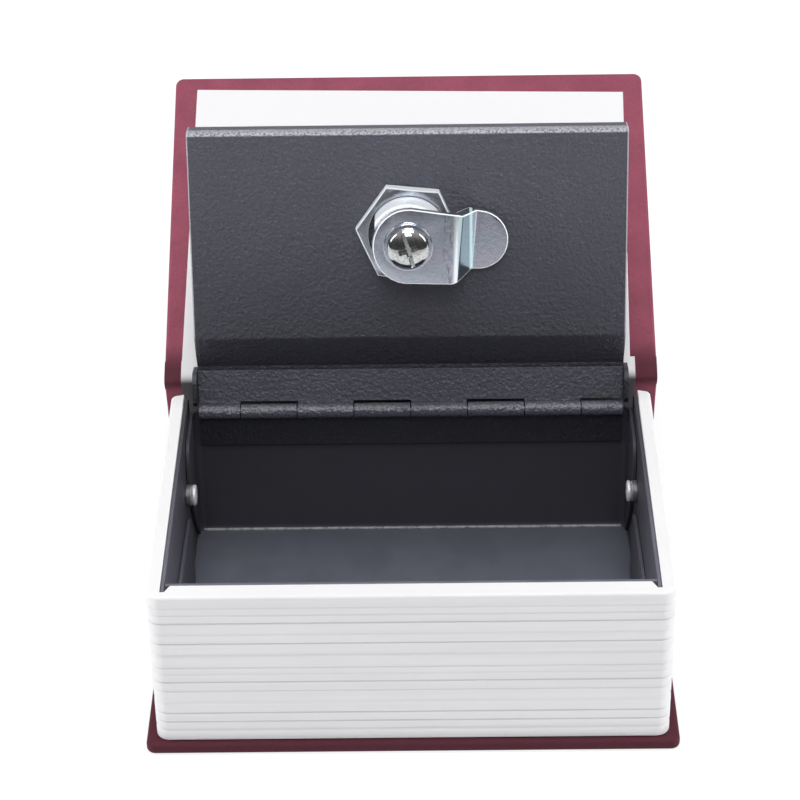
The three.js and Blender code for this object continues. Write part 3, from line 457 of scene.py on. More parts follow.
def zinc_plate(
        settings, name="bright_zinc", rough=0.12, gain=1.0, metal=1.0, bends=False, flats=0.0):
    """Zinc plate with a bluish cast and fine rubbing marks. With bends, the cam gets a darker patch,
    a painted highlight along each of its two bends and a teal web between them; with flats, the nut
    gets painted highlights along the edges of its flats, which are so many millimetres apart."""
    color = [min(1.0, gain * part) for part in settings.zinc_color]
    look = Look(name, Metallic=metal)
    cast = look.noise(5 * MM, 2.0, 0.5)
    rubs = look.noise(0.5 * MM, 3.0, 0.6, look.scaled(1.0, 1.0, 0.12))
    pits = look.noise(0.9 * MM, 3.0, 0.6)
    base = look.mix(cast.ramp(0.35, 0.65), (0.92 * color[0], color[1], color[2], 1), rgba(color))
    base = look.mix(pits.ramp(0.6, 0.8) * 0.4, base, rgba(color, 0.6))
    if bends:
        first_bend, second_bend = 10.45, 13.95
        reach = look.axis("X")
        # a darker patch before the first bend
        dark_patch = rubs.ramp(0.45, 0.65) * reach.ramp(7.0, 8.5) * reach.ramp(10.0, 9.4)
        base = look.mix(dark_patch * 0.6, base, rgba(color, 0.35))
        # painted highlights along the two bends, the second less metallic so that it stays bright,
        # and a teal tint on the web between them
        base = look.mix(abs(reach - first_bend).ramp(0.5, 0.25), base, rgba((0.98, 0.98, 1.0)))
        web = reach.ramp(10.8, 11.2) * reach.ramp(14.4, 14.2)
        base = look.mix(web, base, rgba((0.50, 0.66, 0.67)))
        line = abs(reach - second_bend).ramp(0.45, 0.25)
        base = look.mix(line, base, rgba((0.72, 0.97, 0.97)))
        look.wear(metallic=1.0 - line * 0.75)
    if flats:
        # painted highlight: a pale, non-metallic line along the edges of the nut's flats
        rims = []
        for turn in NUT_TURNS:
            across = LOCK.to_3x3() @ Vector((math.cos(turn), math.sin(turn), 0.0))
            offset = sum((look.axis(name) - middle) * part
                         for name, middle, part in zip("XYZ", LOCK_POINT / MM, across))
            rims.append(abs(offset).ramp(flats / 2 - 0.35, flats / 2 - 0.15))
        rim = sum(rims).ramp(0.0, 1.0)
        base = look.mix(rim, base, rgba((0.80, 0.83, 0.87)))
        look.wear(metallic=(1.0 - rim) * metal)
    relief = look.bump(rubs, 0.010 * MM, 0.5)
    relief = look.bump(pits, 0.03 * MM, 0.35, relief)
    return look.finish(base, rough + rubs * 0.12, relief)


def polished_screw():
    """Polished nickel plate on the screw."""
    look = Look("polished_nickel", Metallic=1.0)
    marks = look.noise(0.7 * MM, 3.0, 0.6)
    base = look.mix(marks.ramp(0.4, 0.7), rgba((0.70, 0.70, 0.67)), rgba((0.50, 0.50, 0.49)))
    return look.finish(base, 0.05 + marks * 0.06, look.bump(marks, 0.01 * MM, 0.3))


def rivet_aluminium():
    """Bright aluminium on the rivet's tail, dark grey on its flange."""
    look = Look("rivet_aluminium", Metallic=0.4)
    marks = look.noise(0.4 * MM, 3.0, 0.6)
    flange = abs(look.axis("X")).ramp(50.0, 50.3)
    base = look.mix(marks.ramp(0.35, 0.7), rgba((0.90, 0.90, 0.91)), rgba((0.72, 0.73, 0.75)))
    base = look.mix(flange, base, rgba((0.16, 0.16, 0.17)))
    return look.finish(base, 0.34 + marks * 0.15, look.bump(marks, 0.03 * MM, 0.5))


def loose(name, bm):
    """A bare object made from a bmesh."""
    mesh = bpy.data.meshes.new(name)
    bm.to_mesh(mesh)
    bm.free()
    piece = bpy.data.objects.new(name, mesh)
    bpy.context.scene.collection.objects.link(piece)
    return piece


def new_piece(name, bm, material, body, stands_for=(), angle=38.0):
    """A finished mesh as an object at the origin that rides on a body."""
    return dress(loose(name, bm), material, body, stands_for, angle)


def dress(piece, material, body, stands_for=(), angle=38.0):
    """Gives an object its material, smooth shading, body and replaced nodes."""
    mesh = piece.data
    mesh.materials.clear()
    mesh.materials.append(material)
    mesh.polygons.foreach_set("material_index", [0] * len(mesh.polygons))
    mesh.shade_smooth()
    mesh.set_sharp_from_angle(angle=math.radians(angle))
    mesh.update()
    steady = piece.modifiers.new("flat_faces_stay_flat", "WEIGHTED_NORMAL")
    steady.keep_sharp = True
    if body:
        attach(piece, body)
    if stands_for:
        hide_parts(*stands_for)
    return piece


def outward(bm):
    """Merges doubles and turns every face outwards."""
    bmesh.ops.remove_doubles(bm, verts=bm.verts, dist=DOUBLES)
    bmesh.ops.recalc_face_normals(bm, faces=bm.faces)


def round_edges(bm, edges, radius, segments=3):
    """Bevels edges to a radius."""
    return bmesh.ops.bevel(
        bm, geom=list(edges), offset=radius, offset_type="OFFSET", segments=segments, profile=0.5,
        affect="EDGES", clamp_overlap=True, material=-1, loop_slide=True)


def softened(node, name, material, body, radius, segments=2, angle=30.0, rim=None):
    """A copy of a solid with its sharp edges rounded, which may have a material of their own."""
    bm = bmesh.new()
    bm.from_mesh(frame["nodes"][node].data)
    bmesh.ops.remove_doubles(bm, verts=bm.verts, dist=DOUBLES)
    bmesh.ops.dissolve_limit(
        bm, angle_limit=math.radians(0.5), use_dissolve_boundaries=False, verts=bm.verts,
        edges=bm.edges)
    sharp = [edge for edge in bm.edges if len(edge.link_faces) == 2
             and edge.calc_face_angle() > math.radians(angle)]
    rounded = round_edges(bm, sharp, radius, segments)["faces"]
    for face in bm.faces:
        face.material_index = 0
    for face in rounded:
        face.material_index = 1 if rim else 0
    bmesh.ops.triangulate(bm, faces=[face for face in bm.faces if len(face.verts) > 4])
    worn = [face.material_index for face in bm.faces]
    piece = new_piece(name, bm, material, body, (node,))
    if rim:
        piece.data.materials.append(rim)
        piece.data.polygons.foreach_set("material_index", worn)
    return piece


def slab(bm, low, high, radius=0.0, segments=2):
    """A box between two corners, which may have rounded edges. Gives its first points."""
    low, high = Vector(low), Vector(high)
    place = Matrix.Translation((low + high) / 2) @ Matrix.Diagonal((*(high - low), 1.0))
    made = bmesh.ops.create_cube(bm, size=1.0, matrix=place)
    if radius:
        edges = {edge for vert in made["verts"] for edge in vert.link_edges}
        round_edges(bm, edges, radius, segments)
    return made["verts"]


def bar(bm, start, end, radius, segments=40, rounding=0.0):
    """A round bar along X with softened ends."""
    start, end = Vector(start), Vector(end)
    place = Matrix.Translation((start + end) / 2) @ Matrix.Rotation(math.pi / 2, 4, "Y")
    made = bmesh.ops.create_cone(
        bm, cap_ends=True, cap_tris=False, segments=segments, radius1=radius, radius2=radius,
        depth=(end - start).length, matrix=place)
    if rounding:
        ends = {edge for vert in made["verts"] for edge in vert.link_edges
                if len(edge.link_faces) == 2 and edge.calc_face_angle() > math.radians(60)}
        round_edges(bm, ends, rounding, 2)


def in_metres(points):
    """A profile that was written in millimetres."""
    return [(radius * MM, height * MM) for radius, height in points]


def spun(profile, segments=64):
    """A round solid about Z from a profile of radius and height that starts and ends on the axis."""
    bm = bmesh.new()
    verts = [bm.verts.new((radius, 0, height)) for radius, height in profile]
    edges = [bm.edges.new(pair) for pair in zip(verts, verts[1:])]
    bmesh.ops.spin(
        bm, geom=verts + edges, cent=(0, 0, 0), axis=(0, 0, 1), dvec=(0, 0, 0), angle=2 * math.pi,
        steps=segments, use_merge=True, use_duplicate=False)
    outward(bm)
    return bm


def carved(piece, cutters):
    """The piece with each cutter taken out of it."""
    for cutter in cutters:
        hole = piece.modifiers.new("Cut", "BOOLEAN")
        hole.operation = "DIFFERENCE"
        hole.solver = "EXACT"
        hole.object = cutter
    bpy.context.view_layer.update()
    shaped = piece.evaluated_get(bpy.context.evaluated_depsgraph_get())
    mesh = bpy.data.meshes.new_from_object(shaped)
    old = piece.data
    piece.modifiers.clear()
    piece.data = mesh
    mesh.name = piece.name
    bpy.data.meshes.remove(old)
    for cutter in cutters:
        bpy.data.objects.remove(cutter)
    return piece


class Materials:
    """Each material is made once, when a piece first asks for it."""
    made = {}

    @classmethod
    def get(cls, name):
        if name not in cls.made:
            scene = bpy.context.scene
            case, steel, lock = scene.safe_case, scene.safe_steel, scene.safe_lock
            makers = {
                "cloth": lambda: book_cloth(case),
                "paper": lambda: end_paper(case),
                "plastic": lambda: page_plastic(scene.safe_block),
                "coat": lambda: powder_coat(steel),
                # the hinge's coat, with painted shade on its leaves below the knuckles
                "hinge_coat": lambda: powder_coat(
                    steel, "hinge_powder_coat", 36.0, 37.2, 0.3, knuckles=True),
                # the pin made dark: painted shade in the seams between the knuckles
                "pin_seam_shade": lambda: zinc_plate(lock, "pin_seam_shade", 0.4, 0.15),
                "inner_coat": lambda: inner_coat(steel),
                "pale_bend": lambda: pale_bend(steel),
                "zinc": lambda: zinc_plate(lock),
                "matt_zinc": lambda: zinc_plate(lock, "matt_zinc", 0.34, 1.3, 0.3),
                # edge_highlight_zinc: near-white and not metallic, a painted highlight on the nut's
                # and cam's rounded edges
                "edge_highlight_zinc": lambda: zinc_plate(lock, "edge_highlight_zinc", 0.4, 1.6, 0.0),
                "cam_zinc": lambda: zinc_plate(lock, "cam_zinc", 0.14, bends=True),
                "grey_zinc": lambda: zinc_plate(lock, "grey_zinc", 0.16, 0.62, 0.9, flats=20.5),
                "dull_zinc": lambda: zinc_plate(lock, "dull_zinc", 0.14),
                "screw": polished_screw,
                "rivet": rivet_aluminium,
            }
            cls.made[name] = makers[name]()
        return cls.made[name]


def board(bm, low, high, corner, edge):
    """A covered board with round corners and soft edges."""
    upright = {e for v in slab(bm, low, high) for e in v.link_edges
               if abs(e.verts[0].co.z - e.verts[1].co.z) > 0.5 * (high[2] - low[2])}
    round_edges(bm, upright, corner, 8)
    rims = [e for e in bm.edges
            if len(e.link_faces) == 2 and e.calc_face_angle() > math.radians(60)]
    round_edges(bm, rims, edge, 5)


class SAFE_OT_boards(bpy.types.Operator):
    """Makes the two covered boards"""
    bl_idname = "safe.boards"
    bl_label = "Cover Boards"

    def execute(self, context):
        case = context.scene.safe_case
        cloth = Materials.get("cloth")
        bm = bmesh.new()
        board(bm, BACK_LOW, BACK_HIGH, case.board_corner, case.board_edge)
        new_piece("back_board", bm, cloth, "box", ("back_cover",), 50)
        bm = bmesh.new()
        depth = BACK_HIGH.y - BACK_LOW.y
        thick = BACK_HIGH.z - BACK_LOW.z
        low = (BACK_LOW.x, -case.joint_width - depth, case.board_gap)
        high = (BACK_HIGH.x, -case.joint_width, case.board_gap + thick)
        board(bm, low, high, case.board_corner, case.board_edge)
        bm.transform(SHUT_COVER)
        new_piece("front_board", bm, cloth, "cover", ("front_cover",), 50)
        return {"FINISHED"}


class SAFE_OT_endpaper(bpy.types.Operator):
    """Makes the endpaper on the front board"""
    bl_idname = "safe.endpaper"
    bl_label = "Endpaper"

    def execute(self, context):
        case = context.scene.safe_case
        bm = bmesh.new()
        depth = BACK_HIGH.y - BACK_LOW.y
        half = BACK_HIGH.x - case.side_margin
        front = -case.joint_width - depth + case.fore_margin
        rear = -case.joint_width
        slab(bm, (-half, front, 0), (half, rear, case.paper), 0.08 * MM, 2)
        middle = Vector((0, (front + rear) / 2, 0))
        skewed = Matrix.Rotation(case.skew, 4, "Z") @ Matrix.Translation(-middle)
        place = Matrix.Translation(middle - Vector((case.aside, 0, 0))) @ skewed
        bm.transform(SHUT_COVER @ place)
        new_piece("board_endpaper", bm, Materials.get("paper"), "cover", ("front_endpaper",))
        return {"FINISHED"}


def arch_points(inner, steps=48):
    """Points of the spine's arch from its foot to its top, moved out from its inner face."""
    chord = SPINE_HIGH.z - SPINE_LOW.z
    bulge = LINING_REAR - COVER_HINGE.y + SHEET_GAP
    radius = (chord * chord / 4 + bulge * bulge) / (2 * bulge)
    centre_y = COVER_HINGE.y + bulge - radius
    centre_z = (SPINE_HIGH.z + SPINE_LOW.z) / 2
    reach = math.asin(chord / 2 / (radius + inner))
    points = []
    for step in range(steps + 1):
        angle = -reach + 2 * reach * step / steps
        points.append((centre_y + (radius + inner) * math.cos(angle),
                       centre_z + (radius + inner) * math.sin(angle)))
    return points


def curved_sheet(outside, inside, left, right):
    """A closed sheet along X between two rows of points of depth and height."""
    bm = bmesh.new()
    outline = [(left, y, z) for y, z in outside] + [(left, y, z) for y, z in reversed(inside)]
    face = bm.faces.new([bm.verts.new(point) for point in outline])
    grown = bmesh.ops.extrude_face_region(bm, geom=[face])
    moved = [item for item in grown["geom"] if isinstance(item, bmesh.types.BMVert)]
    bmesh.ops.translate(bm, vec=(right - left, 0, 0), verts=moved)
    outward(bm)
    return bm


class SAFE_OT_spine(bpy.types.Operator):
    """Makes the spine, its lining and the two cloth joints"""
    bl_idname = "safe.spine"
    bl_label = "Spine and Joints"

    def execute(self, context):
        case = context.scene.safe_case
        cloth = Materials.get("cloth")
        left, right = BACK_LOW.x, BACK_HIGH.x
        bm = curved_sheet(arch_points(SPINE_THICK), arch_points(0), left, right)
        sharp = [e for e in bm.edges if e.calc_face_angle() > math.radians(45)]
        round_edges(bm, sharp, 0.35 * MM, 3)
        new_piece("spine_board", bm, cloth, "box", ("spine",))
        left, right = left + case.side_margin - LINING_ASIDE, right - case.side_margin
        face, back = arch_points(-SHEET_GAP - case.paper), arch_points(-SHEET_GAP)
        bm = curved_sheet(back, face, left, right)
        new_piece("spine_paper", bm, Materials.get("paper"), "box", ("spine_lining",))
        self.back_joint(cloth)
        self.front_joint(case, cloth)
        return {"FINISHED"}

    def back_joint(self, cloth):
        """The strip of cloth between the back board and the spine's foot."""
        bm = bmesh.new()
        slab(bm, *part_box("back_joint_cloth"), 0.3 * MM, 3)
        new_piece("back_joint", bm, cloth, "box", ("back_joint_cloth",))

    def front_joint(self, case, cloth):
        """The cloth that bends between the spine and the front board, and the paper inside it."""
        lap = 2.3 * MM
        over_board, over_spine, over_side = 0.06 * MM, 0.04 * MM, 0.02 * MM
        near = case.board_gap - over_board
        far = case.board_gap + BACK_HIGH.z - BACK_LOW.z + over_board
        in_edge, in_board, out_edge, out_board = (
            SHUT_COVER @ Vector((0, -case.joint_width - reach, height))
            for height in (near, far) for reach in (0, lap))
        foot = arch_points(-over_spine)
        back = arch_points(SPINE_THICK + over_spine)
        inside = smooth_path([foot[-4], foot[-1], in_edge.yz, in_board.yz])
        outside = smooth_path([back[-4], back[-1], out_edge.yz, out_board.yz])
        start = Vector((0, (foot[-1][0] + back[-1][0]) / 2, foot[-1][1]))
        bm = curved_sheet(outside, inside, BACK_LOW.x - over_side, BACK_HIGH.x + over_side)
        strip = new_piece(
            "front_joint", bm, cloth, None, ("front_joint_cloth",), 60)
        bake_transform(strip)
        towards_fore = -0.75 * case.paper, 0.66 * case.paper
        face = [(y + towards_fore[0], z + towards_fore[1]) for y, z in inside]
        left, right = BACK_LOW.x + case.side_margin - LINING_ASIDE, BACK_HIGH.x - case.side_margin
        bm = curved_sheet(inside, face, left, right)
        paper = new_piece("joint_paper", bm, Materials.get("paper"), None, (), 60)
        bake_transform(paper)


def smooth_path(points, steps=6):
    """A smooth line of depth and height through a few points."""
    ends = [points[0]] + points + [points[-1]]
    path = []
    for around in zip(ends, ends[1:], ends[2:], ends[3:]):
        for step in range(steps):
            t = step / steps
            path.append(tuple(
                0.5 * (2 * b + (c - a) * t + (2 * a - 5 * b + 4 * c - d) * t * t
                       + (3 * b - a - 3 * c + d) * t ** 3)
                for a, b, c, d in zip(*around)))
    return path + [points[-1]]


# The ribs in the photograph from the foot up: the height of each, then the depth and half
# width of the groove above it, all in millimetres
RIBS = [(2.8, 0.14, 0.65), (2.4, 0.16, 0.28), (2.4, 0.16, 0.28), (2.8, 0.09, 0.75),
        (3.2, 0.11, 0.32), (2.5, 0.16, 0.28), (2.05, 0.09, 0.45), (1.8, 0.11, 0.30),
        (3.25, 0.18, 0.75), (3.25, 0.16, 0.28), (2.3, 0.11, 0.55), (3.1, 0.17, 0.28),
        (2.1, 0.10, 0.32), (1.85, 0.09, 0.36), (2.1, 0.0, 0.30)]


class SAFE_OT_page_block(bpy.types.Operator):
    """Makes the moulded page block with its ribs and rim"""
    bl_idname = "safe.page_block"
    bl_label = "Page Block"

    def execute(self, context):
        block = context.scene.safe_block
        bm = bmesh.new()
        side = bm.verts.layers.float_vector.new("outward")
        # the painted groove shade on each point, which the plastic reads as its groove attribute
        shade = bm.verts.layers.float.new("groove")
        top = self.plan(bm, side, block)
        heights = self.heights(block)
        for low, high in zip(heights, heights[1:]):
            grown = bmesh.ops.extrude_face_region(bm, geom=[top])["geom"]
            moved = [item for item in grown if isinstance(item, bmesh.types.BMVert)]
            bmesh.ops.translate(bm, vec=(0, 0, high - low), verts=moved)
            if low > heights[0]:
                bmesh.ops.delete(bm, geom=[top], context="FACES_ONLY")
            top = next(item for item in grown if isinstance(item, bmesh.types.BMFace))
        for vert in bm.verts:
            # painted groove shade: full on the front, down to 0.3 on the sides and inner faces
            vert[shade] = self.shade(vert.co.z, block) * (0.3 + 0.7 * abs(vert[side].y) ** 3)
        self.relief(bm, side, block)
        bm.verts.layers.float_vector.remove(side)
        outward(bm)
        bmesh.ops.triangulate(bm, faces=[face for face in bm.faces if len(face.verts) > 4])
        plastic = Materials.get("plastic")
        new_piece("ribbed_page_block", bm, plastic, "box", ("page_block",), 60)
        return {"FINISHED"}

    def plan(self, bm, side, block):
        """The wall's plan, with where each point of it faces kept on its vertices."""
        inner_x, inner_y = BLOCK_HALF - block.wall, BLOCK_FRONT + block.wall
        notch_x = BLOCK_HALF - block.rim_side - block.notch
        right = [(BLOCK_HALF, BLOCK_FRONT), (BLOCK_HALF, BLOCK_REAR), (inner_x, BLOCK_REAR),
                 (inner_x, inner_y + 3 * INNER_CORNER),
                 (inner_x - INNER_CORNER, inner_y + INNER_CORNER), (notch_x, inner_y)]
        outline = right + [(-x, y) for x, y in reversed(right)]
        verts = [bm.verts.new((x, y, BLOCK_FOOT)) for x, y in outline]
        bm.faces.new(verts)
        outer = [vert for vert in verts if abs(vert.co.x) > BLOCK_HALF - block.wall / 2]
        for end, radius, segments in (
                (BLOCK_FRONT, block.corner, 8), (BLOCK_REAR, block.end_round, 5)):
            corners = [vert for vert in outer if abs(vert.co.y - end) < block.wall / 2]
            bmesh.ops.bevel(bm, geom=corners, offset=radius, offset_type="OFFSET",
                            segments=segments, profile=0.5, affect="VERTICES", material=-1)
            outer = [vert for vert in outer if vert.is_valid]
        bm.faces.ensure_lookup_table()
        for vert in bm.verts:
            vert[side] = self.facing(vert.co, block)
        return bm.faces[0]

    def facing(self, co, block):
        """The unit direction of an outer point, or nothing for an inner one."""
        x, y = abs(co.x), co.y
        close = MM / 100
        across, along = x - BLOCK_HALF, y - BLOCK_FRONT
        beyond = y - BLOCK_REAR
        if across <= close - block.wall and along >= block.wall - close:
            return Vector((0, 0, 0))
        if across > -block.corner and along < block.corner:
            way = Vector((across + block.corner, along - block.corner, 0)).normalized()
        elif across > -block.end_round and beyond > -block.end_round:
            way = Vector((across + block.end_round, beyond + block.end_round, 0)).normalized()
        elif across > -block.corner:
            way = Vector((1, 0, 0))
        else:
            way = Vector((0, -1 if along < block.wall / 2 else 0, 0))
        return Vector((math.copysign(way.x, co.x), way.y, 0))

    def grooves(self, block):
        """The height, depth and half width of each groove."""
        land = 1 * MM
        scale = (BLOCK_TOP - BLOCK_FOOT - land) / sum(rib[0] for rib in RIBS)
        level = BLOCK_FOOT
        grooves = []
        for height, depth, half in RIBS:
            level += height * scale
            grooves.append((level, depth * MM * block.groove, half * MM))
        return grooves

    def heights(self, block):
        """Every height at which the block has a ring of points."""
        rim_foot = BLOCK_TOP - block.rim_height
        heights = {BLOCK_FOOT, BLOCK_FOOT + block.foot, rim_foot,
                   rim_foot - block.rim_front + block.wall}
        for level, _, half in self.grooves(block):
            for step in (0.15, 0.4, 0.7, 1):
                heights |= {level - half * step, level + half * step}
        for step in range(7):
            heights.add(BLOCK_TOP - block.rim_round * (1 - math.sin(math.pi / 2 * step / 6)))
        ordered = []
        for height in sorted(heights):
            if height <= BLOCK_TOP and (not ordered or height - ordered[-1] > 0.02 * MM):
                ordered.append(height)
        ordered[-1] = BLOCK_TOP
        return ordered

    def depth(self, height, block):
        """How far the outer face stands back at a height."""
        rise = 1 + (height - BLOCK_TOP) / block.rim_round
        if rise > 0:
            return block.rim_round * (1 - math.sqrt(max(0.0, 1 - rise * rise)))
        back = max(0.0, BLOCK_FOOT + block.foot - height)
        for level, depth, half in self.grooves(block):
            off = min(1.0, abs(height - level) / half)
            back += depth * (1 - off * off) ** 2
        return back

    def shade(self, height, block):
        """How much painted shade a groove gets at a height: its depth over its half width, falling
        off to its edges.
        """
        return max(depth / half * (1 - min(1.0, abs(height - level) / half) ** 2)
                   for level, depth, half in self.grooves(block))

    def relief(self, bm, side, block):
        """Sinks the grooves into the outer faces and widens the inner ones to the rim."""
        rim_foot = BLOCK_TOP - block.rim_height
        rim_start = rim_foot - block.rim_front + block.wall
        flare, flare_height = 0.6, 0.35 * MM
        for vert in bm.verts:
            way = vert[side]
            height = vert.co.z
            if way.length > 0.5:
                vert.co -= way * self.depth(height, block)
                continue
            share = min(1.0, max(0.0, (height - rim_start) / (rim_foot - rim_start)))
            lip = flare * max(0.0, height - BLOCK_TOP + flare_height)
            self.widen(vert, share, block)
            if vert.co.y < BLOCK_FRONT + block.rim_front + 1 * MM:
                vert.co.y -= lip
            else:
                vert.co.x += math.copysign(lip, vert.co.x)

    def widen(self, vert, share, block):
        """Moves an inner point from the thin wall to the rim's inner edge."""
        x, y = abs(vert.co.x), vert.co.y
        past = (y - BLOCK_FRONT - block.wall) / INNER_CORNER
        rim_x, rim_y = BLOCK_HALF - block.rim_side, BLOCK_FRONT + block.rim_front
        notch_y = rim_y - block.notch
        if past > 4:
            target = (rim_x, y)
        elif past > 2:
            target = (rim_x, notch_y)
        elif past > 0.5:
            target = (rim_x - 1 * MM, notch_y)
        else:
            target = (x, rim_y)
        vert.co.x = math.copysign(x + (target[0] - x) * share, vert.co.x)
        vert.co.y = y + (target[1] - y) * share


class SAFE_OT_cash_box(bpy.types.Operator):
    """Softens and coats the sheets of the cash box"""
    bl_idname = "safe.cash_box"
    bl_label = "Cash Box"

    def execute(self, context):
        steel = context.scene.safe_steel
        coat = Materials.get("inner_coat")
        for node in ("tub_floor", "tub_rear_wall", "lid_ledge"):
            softened(node, node + "_coated", coat, "box", steel.edge)
        for node in ("tub_side_left", "tub_side_right"):
            softened(node, node + "_coated", coat, "box", 0.25 * MM)
        self.rear_bend()
        return {"FINISHED"}

    def rear_bend(self):
        """A pale line along the bend at the rear wall's foot."""
        low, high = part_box("tub_rear_wall")
        inset, short, radius = 1.05 * MM, 1.5 * MM, 0.4 * MM
        line, half = high.y - inset, high.x - short
        bm = bmesh.new()
        bar(bm, (-half, line, low.z), (half, line, low.z), radius, 20, radius / 4)
        new_piece("rear_bend", bm, Materials.get("pale_bend"), "box", ())


class SAFE_OT_rivets(bpy.types.Operator):
    """Makes the two blind rivets"""
    bl_idname = "safe.rivets"
    bl_label = "Rivets"

    def execute(self, context):
        aluminium = Materials.get("rivet")
        middle_y = (RIVET_LOW.y + RIVET_HIGH.y) / 2
        middle_z = (RIVET_LOW.z + RIVET_HIGH.z) / 2
        for name, sign in (("left", -1), ("right", 1)):
            bm = spun(self.profile(), 40)
            turn = Matrix.Rotation(-sign * math.pi / 2, 4, "Y")
            bm.transform(Matrix.Translation((sign * PLATE_INNER, middle_y, middle_z)) @ turn)
            new_piece("pulled_rivet_" + name, bm, aluminium, "box", ("rivet_" + name,))
        return {"FINISHED"}

    def profile(self):
        """Radius and height over the plate's inner face, from the tail's end to the outer head."""
        rise = (PLATE_INNER - RIVET_LOW.x) / MM
        outer = (RIVET_HIGH.x - PLATE_INNER) / MM
        bulb, round_end, shank, tube, flange = 1.95, 0.5, 1.6, 2.4, 2.8
        points = [(0, rise - 0.35), (0.75, rise - 0.35), (0.8, rise - 0.1), (1.1, rise)]
        for step in range(7):
            angle = math.pi / 2 - math.pi * step / 6
            points.append((bulb + round_end * math.cos(angle),
                           rise - round_end + round_end * math.sin(angle)))
        points += [(shank, rise - 1.05), (tube - 0.1, rise - 1.12), (tube, rise - 1.3), (tube, 0.1),
                   (shank, 0.1), (shank, -0.9), (flange, -0.9), (flange, -1.15),
                   (flange - 0.5, -outer), (0, -outer)]
        return in_metres(points)


class SAFE_OT_hinge(bpy.types.Operator):
    """Makes the two hinge leaves with their knuckles, and finishes the pin"""
    bl_idname = "safe.hinge"
    bl_label = "Piano Hinge"

    def execute(self, context):
        steel = context.scene.safe_steel
        coat = Materials.get("hinge_coat")
        upright = Matrix.Translation(LID_HINGE)
        back = Matrix.Rotation(-LID_OPEN - math.pi / 2, 4, "X")
        turned = upright @ back @ Matrix.Rotation(math.pi, 4, "Z")
        fixed_width, moving_width = LID_HINGE.z - LEAF_FOOT, 9.6 * MM
        self.leaf("fixed_leaf", steel, coat, "box", "hinge_leaf_fixed", upright, fixed_width)
        self.leaf("moving_leaf", steel, coat, "lid", "hinge_leaf_moving", turned, moving_width)
        pin = frame["nodes"]["hinge_pin"]
        pin.data.materials.clear()
        pin.data.materials.append(Materials.get("pin_seam_shade"))
        return {"FINISHED"}

    def leaf(self, name, steel, coat, body, node, place, width):
        """A leaf that hangs down behind the axis, with every second knuckle."""
        half, radius = PIN_HALF, steel.knuckle_radius
        face = radius - steel.leaf
        slot_depth = radius + steel.slot
        pitch = (2 * half - 2 * steel.end_knuckle) / (steel.knuckles - 2)
        bm = bmesh.new()
        slab(bm, (-half, face, -width), (half, radius, -slot_depth), steel.edge)
        for number in range(1, steel.knuckles, 2):
            left = (number - steel.knuckles / 2) * pitch
            last = number == steel.knuckles - 1
            right = half if last else (number + 1 - steel.knuckles / 2) * pitch
            left, right = left + steel.slot / 3, right - steel.slot / 3
            bar(bm, (left, 0, 0), (right, 0, 0), radius, 48, 0.12 * MM)
            slab(bm, (left, face, -slot_depth - 0.2 * MM), (right, radius, 0), steel.edge)
        bm.transform(place)
        new_piece(name, bm, coat, body, (node,))


class SAFE_OT_lid(bpy.types.Operator):
    """Softens and coats the lid"""
    bl_idname = "safe.lid"
    bl_label = "Lid"

    def execute(self, context):
        steel = context.scene.safe_steel
        coat = Materials.get("coat")
        softened("lid_panel", "lid_coated", coat, "lid", 1.5 * steel.edge, 3)
        return {"FINISHED"}


